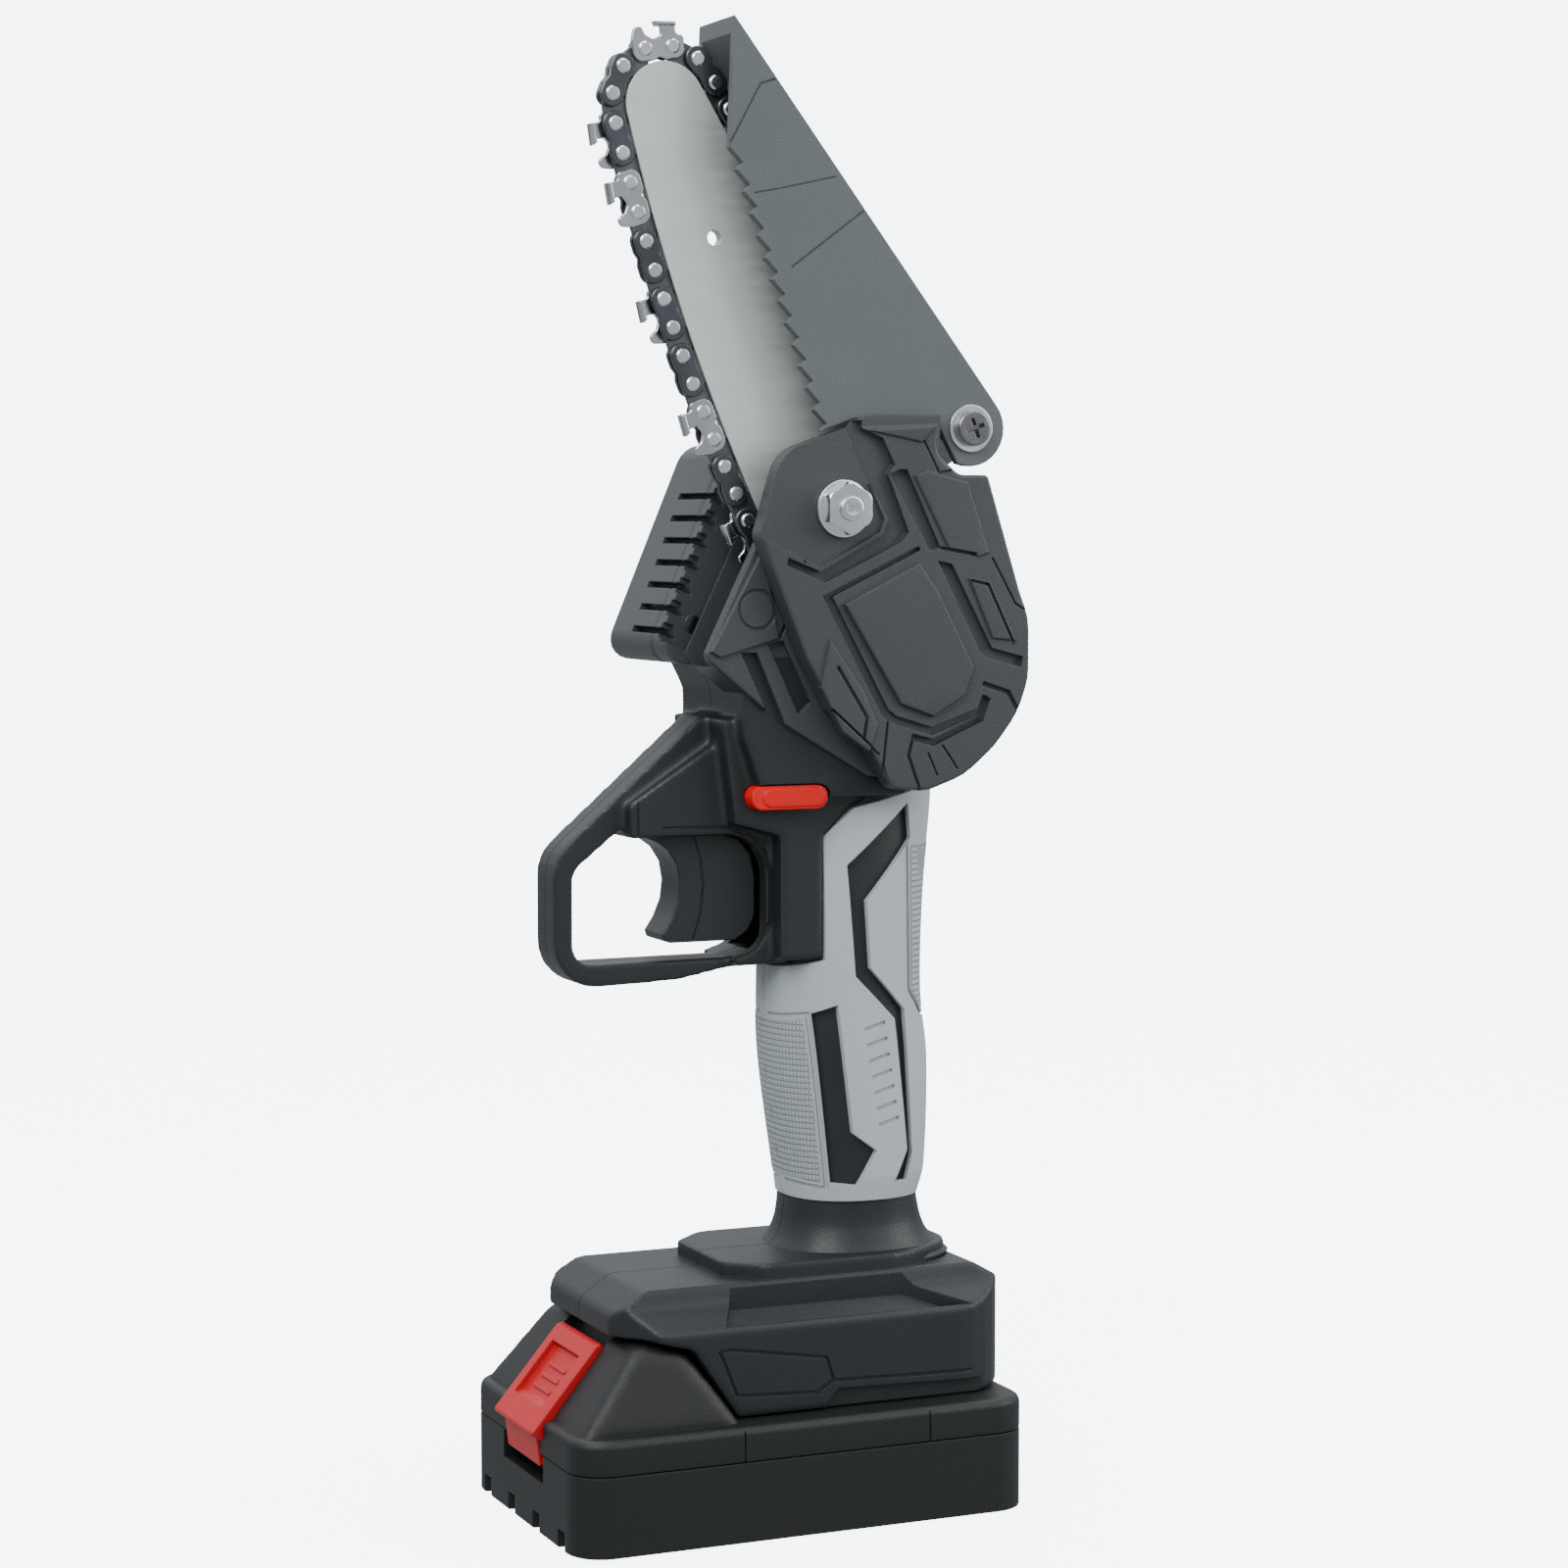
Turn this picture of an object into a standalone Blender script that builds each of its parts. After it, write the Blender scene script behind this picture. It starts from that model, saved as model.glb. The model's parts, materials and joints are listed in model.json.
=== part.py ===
"""Cordless pruning chainsaw, as an assembly of separate pieces.

Frame: +Z up, origin at the centre of the battery's underside. The finger guard and the
battery latch face -X, the sprocket cover faces -Y and the motor pod points to +Y.
Sizes below are in millimetres; MM turns them into metres.
"""
import math

import bmesh
import bpy
from mathutils import Matrix, Vector

MM = 0.001

# bar and chain
LEAN = math.radians(22.8)  # bar axis against the vertical
NOSE = (-25.2, 307.3)  # x, z of the bar's nose centre
BAR_PLANE = -14.0  # y of the chain's middle plane
TURN_RADIUS = 12.3  # rivet circle at nose and sprocket
REACH = 132.7  # nose centre to sprocket axis
SIDE_ANGLE = math.radians(9.0)  # half the arc of each side run
SIDE_RADIUS = TURN_RADIUS + REACH / 2 / math.sin(SIDE_ANGLE)
STUD_REACH = 93.0  # nose centre to bar stud
LINKS = 27
FIRST_TANG = 11.27  # path length from the nose's front tangent to a drive tang
STRAP_HALF = 2.2
TANG_DEPTH = 6.0
TANG_ROOT = 2.1  # half a tang's length at the rivet line, and at its tip
TANG_TIP = 1.0
BAR_INSET = 2.6  # rivet line to bar edge
BAR_THICK = 3.0
GROOVE = 1.5

# drive train
GEAR_TEETH = 32
PINION_TEETH = 8
MODULE = 1.0
MOTOR_RADIUS = 17.9
MOTOR_FACE = 15.3  # y of the motor's front
MOTOR_END = 58.0
POD_RADIUS = 20.8
SHAFT_RADIUS = 3.9
BEARING_RADIUS = 8.0

# chain guard
PIVOT = (43.0, 239.2)
APEX = (-12.9, 325.6)
GUARD_NEAR = -24.0
GUARD_FAR = -4.0
GUARD_WALL = 2.0
GUARD_TEETH = 13

# handle, foot and battery
BUTTON = (2.2, 158.9)
TRIGGER_AXIS_Z = 138.8
BATTERY_LENGTH = 107.0
BATTERY_WIDTH = 71.0
PARTING = 17.5
CELL_RADIUS = 9.15
CELL_PITCH = 18.9
LATCH_HALF = 12.4
LATCH_WINDOW = 12.8
GAP = 0.3


def collection(name):
    group = bpy.data.collections.new(name)
    bpy.context.scene.collection.children.link(group)
    return group


for old in list(bpy.data.objects):
    bpy.data.objects.remove(old, do_unlink=True)
SAW = collection("chainsaw")
CUTTERS = collection("cutters")


def material(name, colour, roughness, metallic=0.0):
    made = bpy.data.materials.new(name)
    made.use_nodes = True
    shader = made.node_tree.nodes["Principled BSDF"]
    shader.inputs["Base Color"].default_value = (*colour, 1.0)
    shader.inputs["Roughness"].default_value = roughness
    shader.inputs["Metallic"].default_value = metallic
    return made


BLACK = material("black_plastic", (0.045, 0.05, 0.052), 0.6)
DARK = material("dark_plastic", (0.03, 0.033, 0.035), 0.7)
GREY = material("grey_rubber", (0.2, 0.22, 0.225), 0.75)
RED = material("red_plastic", (0.7, 0.03, 0.02), 0.4)
BAR_STEEL = material("bar_steel", (0.48, 0.53, 0.5), 0.5, 0.6)
CHAIN_STEEL = material("chain_steel", (0.35, 0.37, 0.4), 0.3, 1.0)
ZINC = material("zinc", (0.75, 0.77, 0.78), 0.25, 1.0)
NICKEL = material("black_nickel", (0.15, 0.15, 0.16), 0.3, 1.0)
GEAR_STEEL = material("gear_steel", (0.4, 0.4, 0.4), 0.35, 1.0)
COPPER = material("copper", (0.7, 0.3, 0.15), 0.35, 1.0)
CELL_WRAP = material("cell_wrap", (0.05, 0.2, 0.45), 0.5)
BOARD = material("board", (0.02, 0.2, 0.08), 0.5)
LEAD_RED = material("lead_red", (0.6, 0.02, 0.02), 0.5)


# ---------------------------------------------------------------- building tools


def place(name, mesh, look, group=SAW):
    """A new object whose mesh is already in world metres."""
    piece = bpy.data.objects.new(name, mesh)
    group.objects.link(piece)
    mesh.name = name
    mesh.materials.clear()
    if look:
        mesh.materials.append(look)
    return piece


def arc(centre, radius, start, end, steps):
    """Points on a circle from one angle in degrees to another."""
    points = []
    for k in range(steps + 1):
        angle = math.radians(start + (end - start) * k / steps)
        points.append((centre[0] + radius * math.cos(angle), centre[1] + radius * math.sin(angle)))
    return points


def rounded(corners, steps=3):
    """Outline through corners (x, z) or (x, z, radius), the latter turned with an arc."""
    points = []
    for i, corner in enumerate(corners):
        here = Vector(corner[:2])
        if len(corner) == 2:
            points.append(tuple(here))
            continue
        before = (Vector(corners[i - 1][:2]) - here).normalized()
        after = (Vector(corners[(i + 1) % len(corners)][:2]) - here).normalized()
        half = before.angle(after) / 2
        centre = here + (before + after).normalized() * corner[2] / math.sin(half)
        start = here + before * corner[2] / math.tan(half) - centre
        end = here + after * corner[2] / math.tan(half) - centre
        first = math.atan2(start.y, start.x)
        turn = math.remainder(math.atan2(end.y, end.x) - first, math.tau)
        for k in range(steps + 1):
            angle = first + turn * k / steps
            points.append((centre.x + corner[2] * math.cos(angle), centre.y + corner[2] * math.sin(angle)))
    return points


ALONG_Y = Matrix.Rotation(math.pi / 2, 4, "X")
ALONG_Z = Matrix.Identity(4)


def settle(curve_object):
    """The welded world-space mesh of a curve object, which is removed."""
    bpy.context.view_layer.update()
    graph = bpy.context.evaluated_depsgraph_get()
    mesh = bpy.data.meshes.new_from_object(curve_object.evaluated_get(graph))
    mesh.transform(curve_object.matrix_world)
    bpy.data.objects.remove(curve_object, do_unlink=True)
    form = bmesh.new()
    form.from_mesh(mesh)
    bmesh.ops.remove_doubles(form, verts=form.verts, dist=0.01 * MM)
    bmesh.ops.recalc_face_normals(form, faces=form.faces)
    form.to_mesh(mesh)
    form.free()
    return mesh


def slab(name, outlines, low, high, look=None, turn=ALONG_Y, group=None):
    """A flat outline, with any holes, as thick as from low to high across its plane."""
    if isinstance(outlines[0][0], (int, float)):
        outlines = [outlines]
    curve = bpy.data.curves.new(name, "CURVE")
    curve.dimensions = "2D"
    curve.fill_mode = "BOTH"
    curve.extrude = abs(high - low) / 2 * MM
    for outline in outlines:
        spline = curve.splines.new("POLY")
        spline.points.add(len(outline) - 1)
        for point, place_2d in zip(spline.points, outline):
            point.co = (place_2d[0] * MM, place_2d[1] * MM, 0.0, 1.0)
        spline.use_cyclic_u = True
    holder = bpy.data.objects.new(name, curve)
    bpy.context.scene.collection.objects.link(holder)
    middle = (low + high) / 2 * MM
    normal = turn.to_3x3() @ Vector((0.0, 0.0, 1.0))
    along = Vector([abs(part) for part in normal])
    holder.matrix_world = Matrix.Translation(along * middle) @ turn
    return place(name, settle(holder), look, group or (SAW if look else CUTTERS))


def rod(name, centre, radius, low, high, look=None, sides=16, axis="Y"):
    """A cylinder along Y, X or Z; centre is its place in the other two axes."""
    form = bmesh.new()
    ends = {"radius1": radius * MM, "radius2": radius * MM}
    bmesh.ops.create_cone(form, cap_ends=True, segments=sides, depth=(high - low) * MM, **ends)
    middle = (low + high) / 2
    if axis == "Y":
        spin = Matrix.Rotation(-math.pi / 2, 4, "X")
        spot = (centre[0], middle, centre[1])
    elif axis == "X":
        spin = Matrix.Rotation(math.pi / 2, 4, "Y")
        spot = (middle, centre[0], centre[1])
    else:
        spin = Matrix.Identity(4)
        spot = (centre[0], centre[1], middle)
    bmesh.ops.transform(form, matrix=Matrix.Translation(Vector(spot) * MM) @ spin, verts=form.verts)
    mesh = bpy.data.meshes.new(name)
    form.to_mesh(mesh)
    form.free()
    return place(name, mesh, look, SAW if look else CUTTERS)


def box(name, low, high, look=None):
    form = bmesh.new()
    bmesh.ops.create_cube(form, size=1.0)
    size = Vector(high) - Vector(low)
    middle = (Vector(high) + Vector(low)) / 2
    bmesh.ops.scale(form, vec=size * MM, verts=form.verts)
    bmesh.ops.translate(form, vec=middle * MM, verts=form.verts)
    mesh = bpy.data.meshes.new(name)
    form.to_mesh(mesh)
    form.free()
    return place(name, mesh, look, SAW if look else CUTTERS)


def loft(name, rings, look=None, sides=20, power=2.3):
    """A closed form through rings (z, x, half length, half width), bridged one to the next."""
    form = bmesh.new()
    edges = []
    for i, (z, x, long_half, wide_half) in enumerate(rings):
        made = bmesh.ops.create_circle(form, cap_ends=i in (0, len(rings) - 1), segments=sides, radius=1.0)
        for vert in made["verts"]:
            angle = math.atan2(vert.co.y, vert.co.x)
            cos = math.copysign(abs(math.cos(angle)) ** (2 / power), math.cos(angle))
            sin = math.copysign(abs(math.sin(angle)) ** (2 / power), math.sin(angle))
            vert.co = Vector((x + long_half * cos, wide_half * sin, z)) * MM
        edges.append(list({edge for vert in made["verts"] for edge in vert.link_edges}))
    for lower, upper in zip(edges, edges[1:]):
        bmesh.ops.bridge_loops(form, edges=lower + upper)
    bmesh.ops.triangulate(form, faces=form.faces)
    bmesh.ops.recalc_face_normals(form, faces=form.faces)
    mesh = bpy.data.meshes.new(name)
    form.to_mesh(mesh)
    form.free()
    return place(name, mesh, look, SAW if look else CUTTERS)


def coil(name, centre, axis, radius, wire, low, high, turns, look):
    """A helical spring along Y or X."""
    curve = bpy.data.curves.new(name, "CURVE")
    curve.dimensions = "3D"
    curve.bevel_depth = wire * MM
    curve.bevel_resolution = 1
    curve.use_fill_caps = True
    steps = int(turns * 10)
    spline = curve.splines.new("POLY")
    spline.points.add(steps)
    for k, point in enumerate(spline.points):
        angle = math.tau * turns * k / steps
        rise = low + wire + (high - low - 2 * wire) * k / steps
        ring = (centre[0] + radius * math.cos(angle), centre[1] + radius * math.sin(angle))
        spot = (ring[0], rise, ring[1]) if axis == "Y" else (rise, ring[0], ring[1])
        point.co = (*(Vector(spot) * MM), 1.0)
    holder = bpy.data.objects.new(name, curve)
    bpy.context.scene.collection.objects.link(holder)
    return place(name, settle(holder), look)


def wire(name, route, radius, look):
    """A short lead with straight runs between route's points."""
    curve = bpy.data.curves.new(name, "CURVE")
    curve.dimensions = "3D"
    curve.bevel_depth = radius * MM
    curve.bevel_resolution = 1
    curve.use_fill_caps = True
    spline = curve.splines.new("POLY")
    spline.points.add(len(route) - 1)
    for point, spot in zip(spline.points, route):
        point.co = (*(Vector(spot) * MM), 1.0)
    holder = bpy.data.objects.new(name, curve)
    bpy.context.scene.collection.objects.link(holder)
    return place(name, settle(holder), look)


def boolean(target, tool, operation):
    step = target.modifiers.new(tool.name, "BOOLEAN")
    step.operation = operation
    step.solver = "EXACT"
    step.object = tool
    tool.hide_render = True
    tool.display_type = "WIRE"


def cut(target, *tools):
    for tool in tools:
        boolean(target, tool, "DIFFERENCE")


def join(target, *tools):
    for tool in tools:
        boolean(target, tool, "UNION")


def keep_inside(target, tool, solver="EXACT"):
    boolean(target, tool, "INTERSECT")
    target.modifiers[-1].solver = solver


def bevel(target, width, segments=1, angle=35.0):
    step = target.modifiers.new("edge", "BEVEL")
    step.width = width * MM
    step.segments = segments
    step.limit_method = "ANGLE"
    step.angle_limit = math.radians(angle)
    return target


def baked(name, source, look):
    """A copy of an object with its modifiers applied."""
    bpy.context.view_layer.update()
    graph = bpy.context.evaluated_depsgraph_get()
    mesh = bpy.data.meshes.new_from_object(source.evaluated_get(graph))
    return place(name, mesh, look)


# ---------------------------------------------------------------- the bar's frame and chain path


def on_bar(u, v):
    """Point u mm down the bar from its nose centre and v mm to its front side."""
    x = NOSE[0] + u * math.sin(LEAN) - v * math.cos(LEAN)
    z = NOSE[1] - u * math.cos(LEAN) - v * math.sin(LEAN)
    return (x, z)


SPROCKET = on_bar(REACH, 0.0)
STUD = on_bar(STUD_REACH, 0.0)
GEAR_CENTRES = MODULE * (GEAR_TEETH + PINION_TEETH) / 2
MOTOR_SIDE = math.radians(102.1)  # direction from sprocket axis to motor axis
MOTOR = (
    SPROCKET[0] + GEAR_CENTRES * math.cos(MOTOR_SIDE),
    SPROCKET[1] + GEAR_CENTRES * math.sin(MOTOR_SIDE),
)
SIDE_LENGTH = 2 * SIDE_RADIUS * SIDE_ANGLE
TURN_LENGTH = TURN_RADIUS * (math.pi - 2 * SIDE_ANGLE)
LOOP = 2 * (SIDE_LENGTH + TURN_LENGTH)
SIDE_CENTRE_V = -(SIDE_RADIUS - TURN_RADIUS) * math.cos(SIDE_ANGLE)


def chain_point(s, h):
    """Point at path length s round the chain and h mm outside the rivet line.

    s runs from the nose's front tangent down the front side, round the sprocket,
    up the back side and over the nose.
    """
    s = s % LOOP
    if s < SIDE_LENGTH:
        angle = s / SIDE_RADIUS - SIDE_ANGLE
        u = REACH / 2 + (SIDE_RADIUS + h) * math.sin(angle)
        return on_bar(u, SIDE_CENTRE_V + (SIDE_RADIUS + h) * math.cos(angle))
    s -= SIDE_LENGTH
    if s < TURN_LENGTH:
        angle = math.pi / 2 - SIDE_ANGLE - s / TURN_RADIUS
        return on_bar(REACH + (TURN_RADIUS + h) * math.cos(angle), (TURN_RADIUS + h) * math.sin(angle))
    s -= TURN_LENGTH
    if s < SIDE_LENGTH:
        angle = SIDE_ANGLE - s / SIDE_RADIUS
        u = REACH / 2 + (SIDE_RADIUS + h) * math.sin(angle)
        return on_bar(u, -SIDE_CENTRE_V - (SIDE_RADIUS + h) * math.cos(angle))
    s -= SIDE_LENGTH
    angle = s / TURN_RADIUS - (math.pi / 2 - SIDE_ANGLE)
    return on_bar(-(TURN_RADIUS + h) * math.cos(angle), (TURN_RADIUS + h) * math.sin(angle))


def steps_between(start, end, step):
    count = max(1, round((end - start) / step))
    return [start + (end - start) * k / count for k in range(count + 1)]


def chain_band(name, start, end, step, look):
    """One stretch of chain: straps, drive tangs in the groove, and cutters on both sides."""
    spots = steps_between(start, end, step)
    outer = [chain_point(s, STRAP_HALF) for s in spots]
    inner = [chain_point(s, -STRAP_HALF) for s in spots]
    straps = slab(name, outer + inner[::-1], BAR_PLANE - 2.6, BAR_PLANE + 2.6, look)
    pitch = LOOP / LINKS
    tang_spots = []
    cutter_spots = {-1: [], 1: []}
    for k in range(-1, 2 * LINKS):
        s = FIRST_TANG + pitch * k
        if start + 2.8 < s < end - 2.8:
            tang_spots.append(s)
            middle = s + pitch / 2
            if k % 4 == 0 and start + 3 < middle < end - 5:
                cutter_spots[-1].append(middle)
            if k % 4 == 2 and start + 3 < middle < end - 5:
                cutter_spots[1].append(middle)
    comb = []
    for s in tang_spots:
        comb += [chain_point(s - TANG_ROOT, -1.2), chain_point(s - TANG_TIP, -TANG_DEPTH)]
        comb += [chain_point(s + TANG_TIP, -TANG_DEPTH), chain_point(s + TANG_ROOT, -1.2)]
    for s in reversed(steps_between(tang_spots[0] - TANG_ROOT, tang_spots[-1] + TANG_ROOT, step)):
        comb.append(chain_point(s, 0.5))
    join(straps, slab(name + "_tangs", comb, BAR_PLANE - 0.55, BAR_PLANE + 0.55))
    for side, spots in cutter_spots.items():
        for i, s in enumerate(spots):
            plate = [chain_point(s - 4, 5.0), chain_point(s + 4, 4.2)]
            plate += [chain_point(s + 4, 1.2), chain_point(s - 4, 1.2)]
            near = BAR_PLANE + (0.4 if side > 0 else -3.4)
            join(straps, slab(f"{name}_cutter_{side}_{i}", plate, near, near + 3.0))
    return straps


def make_bar():
    edge = steps_between(0.0, SIDE_LENGTH * 0.745, 17.0)
    front = [chain_point(s, -BAR_INSET) for s in edge]
    back = [chain_point(2 * SIDE_LENGTH + TURN_LENGTH - s, -BAR_INSET) for s in reversed(edge)]
    nose_steps = steps_between(2 * SIDE_LENGTH + TURN_LENGTH, LOOP, 3.9)[1:-1]
    nose = [chain_point(s, -BAR_INSET) for s in nose_steps]
    tail = [on_bar(108.0, 7.5), on_bar(108.0, -7.5)]
    half = BAR_THICK / 2
    bar = slab("guide_bar", front + tail + back + nose, BAR_PLANE - half, BAR_PLANE + half, BAR_STEEL)
    depth = TANG_DEPTH + 0.8
    rim = steps_between(0.0, SIDE_LENGTH * 0.66, 15.0)
    core_front = [chain_point(s, -depth) for s in rim]
    core_back = [chain_point(2 * SIDE_LENGTH + TURN_LENGTH - s, -depth) for s in reversed(rim)]
    core_nose = [chain_point(s, -depth) for s in nose_steps]
    core_tail = [on_bar(103.0, 6.0), on_bar(103.0, -6.0)]
    wide = [on_bar(-20, 30), on_bar(115, 30), on_bar(115, -30), on_bar(-20, -30)]
    ring = [wide, core_front + core_tail + core_back + core_nose]
    cut(bar, slab("bar_groove", ring, BAR_PLANE - GROOVE / 2, BAR_PLANE + GROOVE / 2))
    ends = []
    for centre, first in ((86.0, 90), (98.0, 270)):
        for x, z in arc((0.0, 0.0), 3.3, first, first + 180, 6):
            ends.append(on_bar(centre + x, z))
    cut(bar, slab("bar_slot", ends, BAR_PLANE - 4, BAR_PLANE + 4))
    hole = on_bar(30.0, 0.6)
    cut(bar, rod("bar_hole", hole, 1.7, BAR_PLANE - 4, BAR_PLANE + 4, sides=12))


def make_chain():
    sprocket_start = SIDE_LENGTH - 1.4
    back_start = SIDE_LENGTH + TURN_LENGTH
    nose_start = back_start + SIDE_LENGTH
    chain_band("chain_front", 1.4 + 0.25, sprocket_start - 0.25, 14.0, CHAIN_STEEL)
    chain_band("chain_wrap", sprocket_start + 0.25, back_start - 0.25, 3.5, CHAIN_STEEL)
    chain_band("chain_back", back_start + 0.25, nose_start - 0.25, 14.0, CHAIN_STEEL)
    chain_band("chain_nose", nose_start + 0.25, LOOP + 1.4 - 0.25, 3.5, CHAIN_STEEL)


# ---------------------------------------------------------------- drive train


def gear_outline(centre, teeth, first_tooth, addendum, dedendum, backlash):
    """Involute spur gear outline; first_tooth is the direction of one tooth's middle."""
    pitch_radius = MODULE * teeth / 2
    base = pitch_radius * math.cos(math.radians(20))
    tip = pitch_radius + addendum * MODULE
    root = pitch_radius - dedendum * MODULE

    def spread(radius):
        pressure = math.acos(min(1.0, base / max(radius, base)))
        return math.tan(pressure) - pressure

    half_pitch = math.pi / 2 / teeth - backlash / pitch_radius + spread(pitch_radius)
    points = []
    for k in range(teeth):
        middle = first_tooth + math.tau * k / teeth
        flank = [root, max(base, root + 0.3), pitch_radius, tip]
        sides = [(radius, half_pitch - spread(radius)) for radius in flank]
        for radius, half in sides + [(r, -a) for r, a in sides[::-1]]:
            spot = (middle - half, radius)
            points.append((centre[0] + spot[1] * math.cos(spot[0]), centre[1] + spot[1] * math.sin(spot[0])))
    return points


def make_drive():
    shaft = SHAFT_RADIUS
    rod("sprocket_shaft", SPROCKET, shaft, -19.6, 14.2, GEAR_STEEL, sides=24)
    gear = gear_outline(SPROCKET, GEAR_TEETH, MOTOR_SIDE, 0.6, 1.25, 0.06)
    bore = arc(SPROCKET, shaft + 0.1, 0, 345, 23)
    slab("drive_gear", [gear, bore], 1.0, 8.0, GEAR_STEEL)
    half_tooth = math.pi / PINION_TEETH
    small = gear_outline(MOTOR, PINION_TEETH, MOTOR_SIDE + math.pi + half_tooth, 0.9, 1.25, 0.06)
    slab("pinion", [small, arc(MOTOR, 1.7, 0, 330, 11)], 0.7, 8.3, GEAR_STEEL)
    rod("motor_shaft", MOTOR, 1.5, 0.5, 60.8, GEAR_STEEL, sides=12)

    facing = math.atan2(chain_point(FIRST_TANG + LOOP / LINKS * 11, -9)[1] - SPROCKET[1],
                        chain_point(FIRST_TANG + LOOP / LINKS * 11, -9)[0] - SPROCKET[0])
    teeth = []
    for k in range(6):
        gap_middle = facing + math.radians(60) * k
        for angle, radius in ((-17.5, 8.2), (-15.0, 5.7), (15.0, 5.7), (17.5, 8.2)):
            turned = gap_middle + math.radians(angle)
            teeth.append((SPROCKET[0] + radius * math.cos(turned), SPROCKET[1] + radius * math.sin(turned)))
    low = BAR_PLANE - 2.4
    slab("drive_sprocket", [teeth, arc(SPROCKET, shaft + 0.1, 0, 345, 23)], low, low + 4.8, GEAR_STEEL)
    ring = [arc(SPROCKET, 6.2, 0, 345, 23), arc(SPROCKET, shaft + 0.1, 0, 345, 23)]
    slab("sprocket_clip", ring, -18.2, -17.2, ZINC)

    for name, low in (("front_bearing", -7.5), ("rear_bearing", 9.7)):
        ring = [arc(SPROCKET, BEARING_RADIUS - 0.05, 0, 345, 23), arc(SPROCKET, shaft + 0.1, 0, 345, 23)]
        slab(name, ring, low, low + 4.8, ZINC)

    around = arc(MOTOR, 18.3, -20, 230, 12) + arc(SPROCKET, 11.0, 200, 360, 8)
    plate = slab("gear_plate", around, 11.6, 15.0, GEAR_STEEL)
    join(plate, rod("plate_boss", SPROCKET, 10.2, 9.4, 14.0, sides=24))
    cut(plate, rod("plate_bearing_seat", SPROCKET, BEARING_RADIUS + 0.1, 8.0, 14.7, sides=24))
    cut(plate, rod("plate_motor_hole", MOTOR, 5.4, 8.0, 20.0, sides=16))

    can = rod("motor_can", MOTOR, MOTOR_RADIUS, MOTOR_FACE, MOTOR_END, ZINC, sides=28)
    join(can, rod("can_boss", MOTOR, 5.0, MOTOR_FACE - 2.6, MOTOR_FACE + 1.0, sides=16))
    cut(can, rod("can_inside", MOTOR, MOTOR_RADIUS - 1.5, MOTOR_FACE + 1.6, MOTOR_END + 3, sides=28))
    cut(can, rod("can_bore", MOTOR, 1.8, MOTOR_FACE - 5, MOTOR_FACE + 5, sides=12))
    core = [arc(MOTOR, 12.0, 0, 345, 23), arc(MOTOR, 1.6, 0, 330, 11)]
    slab("motor_armature", core, 22.0, 52.0, COPPER)
    bell = rod("motor_end_bell", MOTOR, 16.1, MOTOR_END - 3.0, MOTOR_END + 1.6, DARK, sides=28)
    cut(bell, rod("bell_bore", MOTOR, 1.8, MOTOR_END - 5, MOTOR_END + 5, sides=12))


# ---------------------------------------------------------------- bar clamp, cover and guard


COVER = [
    (-8.5, 215.8), (-3.7, 231.7, 4), (5.0, 237.4), (13.0, 239.3), (34.0, 240.3), (33.2, 234.0, 5),
    (39.0, 229.0, 4), (46.0, 229.0), (54.0, 203.5), (56.3, 197.7), (56.3, 183.2), (52.5, 176.8),
    (46.5, 170.9), (40.0, 163.8), (31.5, 160.4), (23.0, 160.5), (17.0, 170.2), (8.5, 178.0, 3),
    (5.4, 184.0), (2.0, 190.0),
]


def inset(outline, distance):
    """The outline moved inwards, corner by corner; it runs clockwise seen from -Y."""
    points = []
    for i, corner in enumerate(outline):
        here = Vector(corner[:2])
        before = (here - Vector(outline[i - 1][:2])).normalized()
        after = (Vector(outline[(i + 1) % len(outline)][:2]) - here).normalized()
        side = Vector((before.y, -before.x)) + Vector((after.y, -after.x))
        side = side / max(0.6, side.length_squared / 2)
        moved = here + side * distance
        points.append((moved.x, moved.y, *corner[2:]))
    return points


def make_cover():
    cover = slab("sprocket_cover", rounded(COVER), -27.4, -21.3, BLACK)
    panel = [(5.9, 203.7), (27.3, 211.8), (41.1, 188.3), (39.7, 181.1), (30.9, 175.9), (20.8, 178.9)]
    join(cover, bevel(slab("cover_panel", panel, -28.8, -26.0), 0.6))
    seat = [(13.5, 244.0), (26.6, 216.3), (7.4, 207.9), (-14.0, 218.0), (-14.0, 240.0)]
    cut(cover, slab("cover_nut_recess", rounded(seat), -32.0, -26.4))
    cut(cover, slab("cover_inside", rounded(inset(COVER, 2.4)), -25.0, -18.0))
    mouth = [(-20.0, 216.0), (-6.0, 216.0), (5.0, 233.5), (34.0, 236.0), (34.0, 250.0), (-20.0, 250.0)]
    cut(cover, slab("cover_mouth", mouth, -25.0, -18.0))
    join(cover, rod("cover_boss", STUD, 8.0, -25.4, BAR_PLANE - BAR_THICK / 2 - GAP, sides=20))
    cut(cover, rod("cover_stud_hole", STUD, 3.3, -40.0, 0.0, sides=20))

    stud = rod("bar_stud", STUD, 2.95, -32.6, -6.0, ZINC, sides=20)
    join(stud, rod("stud_head", STUD, 5.4, -6.6, -4.0, sides=6))
    cut(stud, rod("stud_socket", STUD, 1.6, -40.0, -30.0, sides=6))
    nut = rod("cover_nut", STUD, 6.6, -28.1, -26.7, ZINC, sides=28)
    join(nut, rod("nut_hex", STUD, 5.5, -31.6, -27.6, sides=6))
    cut(nut, rod("nut_bore", STUD, 3.1, -40.0, -20.0, sides=20))


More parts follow.
